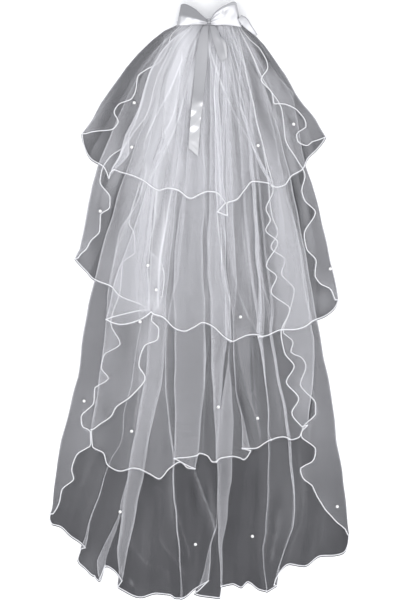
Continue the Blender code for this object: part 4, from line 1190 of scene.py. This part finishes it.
def clear_plastic():
    """Clear moulded plastic with fine scuffs."""
    material, shader, nodes = new_material("clear_comb")
    scuffs = nodes.noise(nodes.own_place(), 260.0, 5.0)
    nodes.set(shader.inputs["Roughness"], nodes.ranged(scuffs, 0.08, 0.3))
    nodes.set(shader.inputs["Alpha"], nodes.ranged(scuffs, 0.35, 0.55))
    shader.inputs["Base Color"].default_value = (0.82, 0.83, 0.85, 1.0)
    return material


comb_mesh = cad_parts["comb"].data
comb_mesh.materials.clear()
comb_mesh.materials.append(clear_plastic())

# ---------------------------------------------------------------- the bow
# A length of white satin ribbon tied over the gathered head: two loops, a knot, a long tail
# with a crushed end, a short tail beside it and a loose end at the right shoulder.

# Rows along each ribbon: its left edge across and down, its right edge across and down, its
# height and how much it bulges. The loops run out on the lower ply, turn over at the far end and
# come back to the knot.
LOOP_LEFT = (
    (18, -13, 18, -6, 29.5, 0), (-4, -31, -4, -4, 26.4, 0),
    (-25, -45, -25, -3, 25.8, 0), (-43, -51, -49, -2, 25.8, 0),
    (-47, -51, -56, -2, 29.5, 0.5), (-48, -50, -58, -2, 33.5, 1.0),
    (-47, -51, -57, -2, 37.0, 1.9), (-41, -53, -49, -2, 39.5, 2.7),
    (-12, -40, -20, -3, 38.5, 3.6), (4, -25, 2, -4, 37.0, 3.2),
    (18, -14, 18, -5, 35.5, 2.0),
)
LOOP_RIGHT = (
    (26, -13, 26, -6, 29.5, 0), (44, -36, 44, -4, 26.4, 0),
    (62, -47, 66, -3, 25.8, 0), (82, -56, 93, 1, 25.8, 0),
    (90, -54, 102, 2, 29.5, 0.5), (92, -52, 104, 3, 33.5, 1.0),
    (91, -55, 103, 2, 37.0, 1.9), (86, -58, 96, 1, 39.5, 2.6),
    (60, -48, 60, -3, 38.5, 3.0), (42, -36, 42, -3, 37.0, 2.0),
    (26, -15, 26, -5, 35.5, 1.0),
)
# The heights of the ends are over the ply of the top tier that they lie on.
TAIL_LONG = (
    (8, -1, 20, -1, 6.2, 0.5), (2, 18, 20, 18, 9.0, 0.5),
    (-4, 40, 20, 40, 8.0, 0.8), (-12, 100, 17, 100, 3.5, 0.8),
    (-17, 162, 10, 166, 0.5, 0.8), (-19, 182, 8, 188, 2.5, 0),
    (-20, 196, 6, 204, 0, 0.5), (-22, 212, 4, 220, 3.5, 0),
    (-23, 228, 2, 237, 0, 0.5), (-25, 248, 0, 256, 3.5, 0),
    (-26, 264, -1, 274, 0, 0.5), (-27, 282, -3, 296, 3.0, 0),
    (-28, 296, -4, 312, 0, 0.5), (-28, 307, -5, 328, 1.5, 0),
)
TAIL_SHORT = (
    (24, 0, 36, 0, 4.5, 0.3), (27, 14, 44, 12, 6.0, 0.5),
    (31, 32, 50, 27, 5.0, 0.8), (38, 55, 62, 40, 3.5, 0.5),
    (45, 76, 67, 62, 1.5, 0.8), (52, 94, 68, 82, 0.5, 0),
)
END_SIDE = (
    (94, -14, 103, -25, 24.0, 0), (105, 0, 116, -18, 19.0, 0.8),
    (118, 12, 129, 2, 10.5, 0.8), (140, 28, 144, 24, 0, 0),
)


def over_tier(ply):
    """The lowest place for a ribbon that lies on a ply of the top tier."""
    def base(across, down):
        return height(TIER_1, across, max(down, 0), ply) + WALL + SEAM + flutes(across, down)
    return base


def flat_base(across, down):
    """The loops' heights are over the surface itself."""
    return 0.0


DENT_AT = (60, -34)  # a soft dent in the right loop
DENT_HALF = (5, 9)
DENT_DEPTH = 1.1
LOOP_SPREAD = 3.5  # how far a full loop's second edge moves toward the hem
CREASE_FADE = 18  # the creases from the knot fade out over this length
PAINTED_EDGE_SHADE_WIDTH = 1.9  # the width of the painted edge shade

# creases and depth: how many fine creases run from the knot, and how deep they are. ridge: the
# share of the width where the ribbon stands highest; swell: how far it rises there; lean: the
# share of that by which all of it is lowered again. rims: which of its two edges get painted
# edge shade. Then how much painted shade darkens it, from where down it is crumpled and takes
# a painted highlight, and glint: where down a painted highlight runs along its second edge.
Ribbon = namedtuple("Ribbon", "node stations base creases depth ridge swell lean rims dull crushed glint"
                    " cut_width cut_length")
RIBBONS = (
    Ribbon("bow_loop_left", LOOP_LEFT, flat_base, 3.5, 1.0, 0.56, 2.7, 0.2, (1, 0), 0.55, None, None,
           0.040, 0.150),
    Ribbon("bow_loop_right", LOOP_RIGHT, flat_base, 3.5, 2.3, 0.08, 6.0, 0.4, (1, 0), 0.0, None, None,
           0.044, 0.155),
    Ribbon("bow_tail_long", TAIL_LONG, over_tier(0), 1.5, 0.7, 0.5, 1.0, 0.0, (0, 0), 0.25, 186.0, None,
           0.028, 0.325),
    Ribbon("bow_tail_short", TAIL_SHORT, over_tier(2), 1.5, 0.6, 0.65, 2.5, 0.0, (0, 0), 0.3, None, 62,
           0.017, 0.095),
    Ribbon("bow_end_side", END_SIDE, over_tier(0), 1.0, 0.3, 0.92, 3.5, 0.0, (1, 1), 0.0, None, None,
           0.014, 0.060),
)


def crumple(across, down):
    """Sharp slanting creases in a crumpled ribbon, one every 46 mm, and other ones across its end."""
    slanted = np.interp(((down + 1.0 * across - 162) / 46) % 1.0, (0, 0.55, 1), (0, 1, 0))
    crossed = np.interp(((down - 0.9 * across - 290) / 60) % 1.0, (0, 0.5, 1), (0, 1, 0))
    end = np.clip((down - 275) / 20, 0, 1)
    return 5.5 * slanted * (1 - end) + 5.0 * crossed * end


def ribbon_grid(ribbon):
    """The ribbon's points, and how much painted edge shade, painted shade and painted highlight each shows.
    """
    stations = np.array(ribbon.stations, float)
    middle = 0.5 * (stations[:, :2] + stations[:, 2:4])
    steps = np.linalg.norm(np.diff(np.column_stack([middle, stations[:, 4]]), axis=0), axis=1)
    places = np.concatenate([[0], np.cumsum(steps)])
    fine = np.linspace(0, places[-1], int(places[-1] / 1.5))
    rows = through(places, stations, fine)
    left, right, rise, bulge = rows[:, :2], rows[:, 2:4], rows[:, 4], rows[:, 5]
    full = np.clip(bulge, 0, 1)
    looped = ribbon.base is flat_base
    near = np.minimum(fine, places[-1] - fine) if looped else fine
    fade = np.exp(-near / CREASE_FADE)
    if looped:
        right[:, 1] += LOOP_SPREAD * full
    wide = np.linalg.norm(right - left, axis=1)
    grid, painted_edge_shade, dull, crushed = [], [], [], []
    for share in np.concatenate([[0, 0.02, 0.05], np.linspace(0.08, 0.92, 21), [0.95, 0.98, 1]]):
        plan = left + (right - left) * share
        lift = rise + np.array([ribbon.base(x, y) for x, y in plan])
        slope = share / ribbon.ridge if share < ribbon.ridge else (1 - share) / (1 - ribbon.ridge)
        lift += ribbon.swell * bulge * (slope ** 0.8 - ribbon.lean)
        if looped:
            soft = np.sin(plan[:, 0] / 5.2 + 2.0) * np.sin(plan[:, 1] / 6.3 + plan[:, 0] / 15.0)
            lift += 0.3 * bulge * slope * soft
            off_across, off_down = ((plan - DENT_AT) / DENT_HALF).T
            lift -= DENT_DEPTH * full * np.exp(-(off_across ** 2) - off_down ** 2)
        lift += ribbon.depth * fade * abs(math.sin(math.pi * ribbon.creases * share + 0.4)) ** 0.7
        if ribbon.crushed is not None:
            # besides its crumples the crushed end takes a painted highlight: a lighter colour
            begun = np.clip((plan[:, 1] - ribbon.crushed) / 15, 0, 1)
            lift += begun * crumple(plan[:, 0], plan[:, 1])
            crushed.append(begun)
        # the glint is a painted highlight: a lighter colour along the second edge
        elif ribbon.glint is not None:
            bright = np.clip((share - 0.7) / 0.12, 0, 1)
            crushed.append(bright * np.clip(1.6 - abs(plan[:, 1] - ribbon.glint) / 18, 0, 1))
        else:
            crushed.append(np.zeros(len(fine)))
        grid.append(np.column_stack([plan, lift]))
        # painted edge shade: the colour is darker along the edges that rims names
        rims = [rim * np.clip(1.3 - edge * wide / PAINTED_EDGE_SHADE_WIDTH, 0, 1)
                for rim, edge in zip(ribbon.rims, (share, 1 - share))]
        painted_edge_shade.append(np.maximum(*rims) * np.clip(wide / 12, 0, 1))
        # on a loop the painted shade lies only above its ridge
        turned = np.clip((ribbon.ridge - share) / 0.08 + 0.5, 0, 1) * full if looped else 1.0
        dull.append(ribbon.dull * turned * np.ones(len(fine)))
    values = {"painted_edge_shade": painted_edge_shade, "dull": dull, "crushed": crushed}
    return np.array(grid), {name: np.array(value).ravel() for name, value in values.items()}


RIBBON_THICK = 0.5
BOW_SATIN = white_satin("bow_satin", (0.45, 0.45, 0.465), 0.38, 0.85, 1400.0)
for ribbon in RIBBONS:
    grid, values = ribbon_grid(ribbon)
    wide, long = grid.shape[:2]
    piece = add_piece(f"satin_{ribbon.node}", grid.reshape(-1, 3), grid_faces(wide, long), BOW_SATIN,
                      values=values)
    solid = piece.modifiers.new("thickness", "SOLIDIFY")
    solid.thickness = RIBBON_THICK * MM
    solid.offset = 0.0
    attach(piece, "root")
    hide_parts(ribbon.node)

KNOT_AT = (22.0, -10.0, 33.8)  # its middle, across, down and up
KNOT_HALF = (5.4, 7.6, 8.4)


def knot():
    """A ribbon wound once round: a rounded block with folds that run over it."""
    rings, around = 40, 56
    tilt = np.pi * (np.arange(rings) + 0.5) / rings
    turn = 2 * np.pi * np.arange(around) / around
    tilt, turn = np.meshgrid(tilt, turn)

    def power(value, by):
        return np.sign(value) * np.abs(value) ** by

    fold = 1 + 0.05 * np.sin(5 * np.cos(turn) * 2.2 + 1.3 * np.cos(tilt))
    across = KNOT_AT[0] + KNOT_HALF[0] * power(np.sin(tilt), 0.7) * power(np.cos(turn), 0.7) * 0.97
    down = KNOT_AT[1] + KNOT_HALF[1] * power(np.sin(tilt), 0.9) * power(np.sin(turn), 0.7)
    rise = KNOT_AT[2] - KNOT_HALF[2] * power(np.cos(tilt), 1.1) * fold * 0.94
    return np.stack([across, down, rise], axis=-1).reshape(-1, 3), closed_faces(around, rings)


knot_piece = add_piece("satin_knot", *knot(), BOW_SATIN)
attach(knot_piece, "root")
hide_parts("bow_knot")

# ---------------------------------------------------------------- the pearls
# Eight-millimetre pearls, sewn on here and there through a fine hole. Each has a soft gloss,
# a faintly warm body and a dimple at each end of the hole.

PEARL_RADIUS = 4.0
# plies is the number of plies of its tier under the pearl, less one.
Pearl = namedtuple("Pearl", "across down tier plies")
PEARLS = (
    Pearl(-165, 195, TIER_1, 0), Pearl(-170, 305, TIER_1, 0), Pearl(234, 247, TIER_1, 0),
    Pearl(145, 301, TIER_1, 2), Pearl(-250, 465, TIER_2, 1), Pearl(-129, 600, TIER_2, 2),
    Pearl(-110, 662, TIER_2, 1.1), Pearl(327, 609, TIER_2, 1), Pearl(102, 730, TIER_2, 0),
    Pearl(-149, 742, TIER_2, 2), Pearl(-290, 940, TIER_4, 1), Pearl(46, 955, TIER_3, 2),
    Pearl(-172, 1016, TIER_3, 0), Pearl(144, 984, TIER_3, 0.7), Pearl(-200, 1218, TIER_4, 0),
    Pearl(342, 1204, TIER_4, 1), Pearl(-12, 1298, TIER_4, 0), Pearl(131, 1277, TIER_4, 0),
)


def pearl_ball():
    """A ball with a dimple at each end of its thread hole, about its own middle."""
    rings, around = 20, 28
    tilt, turn = np.meshgrid(np.pi * (np.arange(rings) + 0.5) / rings,
                             2 * np.pi * np.arange(around) / around)
    end = np.minimum(tilt, np.pi - tilt)
    reach = PEARL_RADIUS * (1 - 0.18 * np.exp(-((end / 0.16) ** 2)))
    grid = np.stack([reach * np.cos(tilt), reach * np.sin(tilt) * np.cos(turn),
                     reach * np.sin(tilt) * np.sin(turn)], axis=-1)
    return grid.reshape(-1, 3), closed_faces(around, rings)


def pearl_gloss():
    """Pearl: a warm white body whose tone shifts slowly, under a clear soft gloss."""
    material, shader, nodes = new_material("pearl_gloss")
    cloud = nodes.noise(nodes.own_place(), 240.0, 2.0)
    nodes.set(shader.inputs["Base Color"], nodes.mixed(cloud, (0.80, 0.78, 0.77), (0.90, 0.90, 0.89)))
    nodes.set(shader.inputs["Roughness"], nodes.ranged(cloud, 0.16, 0.28))
    shader.inputs["Coat Weight"].default_value = 0.6
    shader.inputs["Coat Roughness"].default_value = 0.08
    return material


PEARL_GLOSS = pearl_gloss()
ball_points, ball_faces = pearl_ball()
for number, pearl in enumerate(PEARLS):
    rise = height(pearl.tier, pearl.across, pearl.down, pearl.plies) + WALL / 2 + SEAM + PEARL_RADIUS
    rise += flutes(pearl.across, pearl.down)
    spin = 0.9 * number
    turned = ball_points @ np.array([[math.cos(spin), math.sin(spin), 0],
                                     [-math.sin(spin), math.cos(spin), 0], [0, 0, 1]])
    title = f"pearl_{number + 1:02d}"
    aside = drift(pearl.across, pearl.down)
    ball = add_piece(f"round_{title}", turned + [pearl.across + aside[0], pearl.down + aside[1], rise],
                     ball_faces, PEARL_GLOSS)
    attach(ball, "root")
    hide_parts(title)

# ---------------------------------------------------------------- floor, light and camera
# A pale sheet of paper under the veil, painted near black as shade where it is seen through the
# net, a soft room and one wide soft light from beyond the hem, and a camera that looks straight down.

PAPER_SIZE = 8.0
PLIES_SEEN_THROUGH = 96  # as many see-through plies as a line of sight may cross

scene = bpy.context.scene
scene.view_settings.view_transform = "Standard"
scene.view_settings.look = "None"
scene.cycles.transparent_max_bounces = PLIES_SEEN_THROUGH


def pale_paper():
    """Pale paper. Seen straight on it is bright; seen through the net it is painted near black, a painted
    shade under the veil.
    """
    material, shader, nodes = new_material("pale_paper")
    behind = nodes.add("ShaderNodeLightPath", out="Transparent Depth")
    # painted shade: wherever the paper is seen through the net its colour is near black
    through_net = nodes.math("GREATER_THAN", behind, 0.5)
    nodes.set(shader.inputs["Base Color"],
              nodes.mixed(through_net, (0.97, 0.97, 0.97), (0.010, 0.010, 0.012)))
    shader.inputs["Roughness"].default_value = 0.9
    shader.inputs["Specular IOR Level"].default_value = 0.0
    return material


half = PAPER_SIZE / 2
paper = bpy.data.meshes.new("paper")
paper.from_pydata([(-half, -half, -0.001), (half, -half, -0.001), (half, half, -0.001),
                   (-half, half, -0.001)], [], [(0, 1, 2, 3)])
paper.materials.append(pale_paper())
floor = bpy.data.objects.new("paper_floor", paper)
scene.collection.objects.link(floor)

world = bpy.data.worlds.new("soft_room")
world.use_nodes = True
world.node_tree.nodes["Background"].inputs[0].default_value = (0.96, 0.97, 1.0, 1.0)
world.node_tree.nodes["Background"].inputs[1].default_value = 1.21
scene.world = world

# A big soft light a long way off, from beyond the hem, so that it falls evenly on the whole veil.
light = bpy.data.lights.new("soft_window", "SUN")
light.energy = 1.09
light.angle = math.radians(44)
window = bpy.data.objects.new("soft_window", light)
scene.collection.objects.link(window)
window.rotation_euler = Vector((-0.12, 1.0, -1.0)).to_track_quat("-Z", "Y").to_euler()

view = bpy.data.cameras.new("straight_down")
view.type = "ORTHO"
view.ortho_scale = 1.5  # metres of veil and margin from the top of the view to its bottom
view.clip_end = 30.0
camera = bpy.data.objects.new("straight_down", view)
camera.location = (MIDDLE_SHIFT * MM, (HEAD_AT - 687.5) * MM, 4.0)
scene.collection.objects.link(camera)
scene.camera = camera
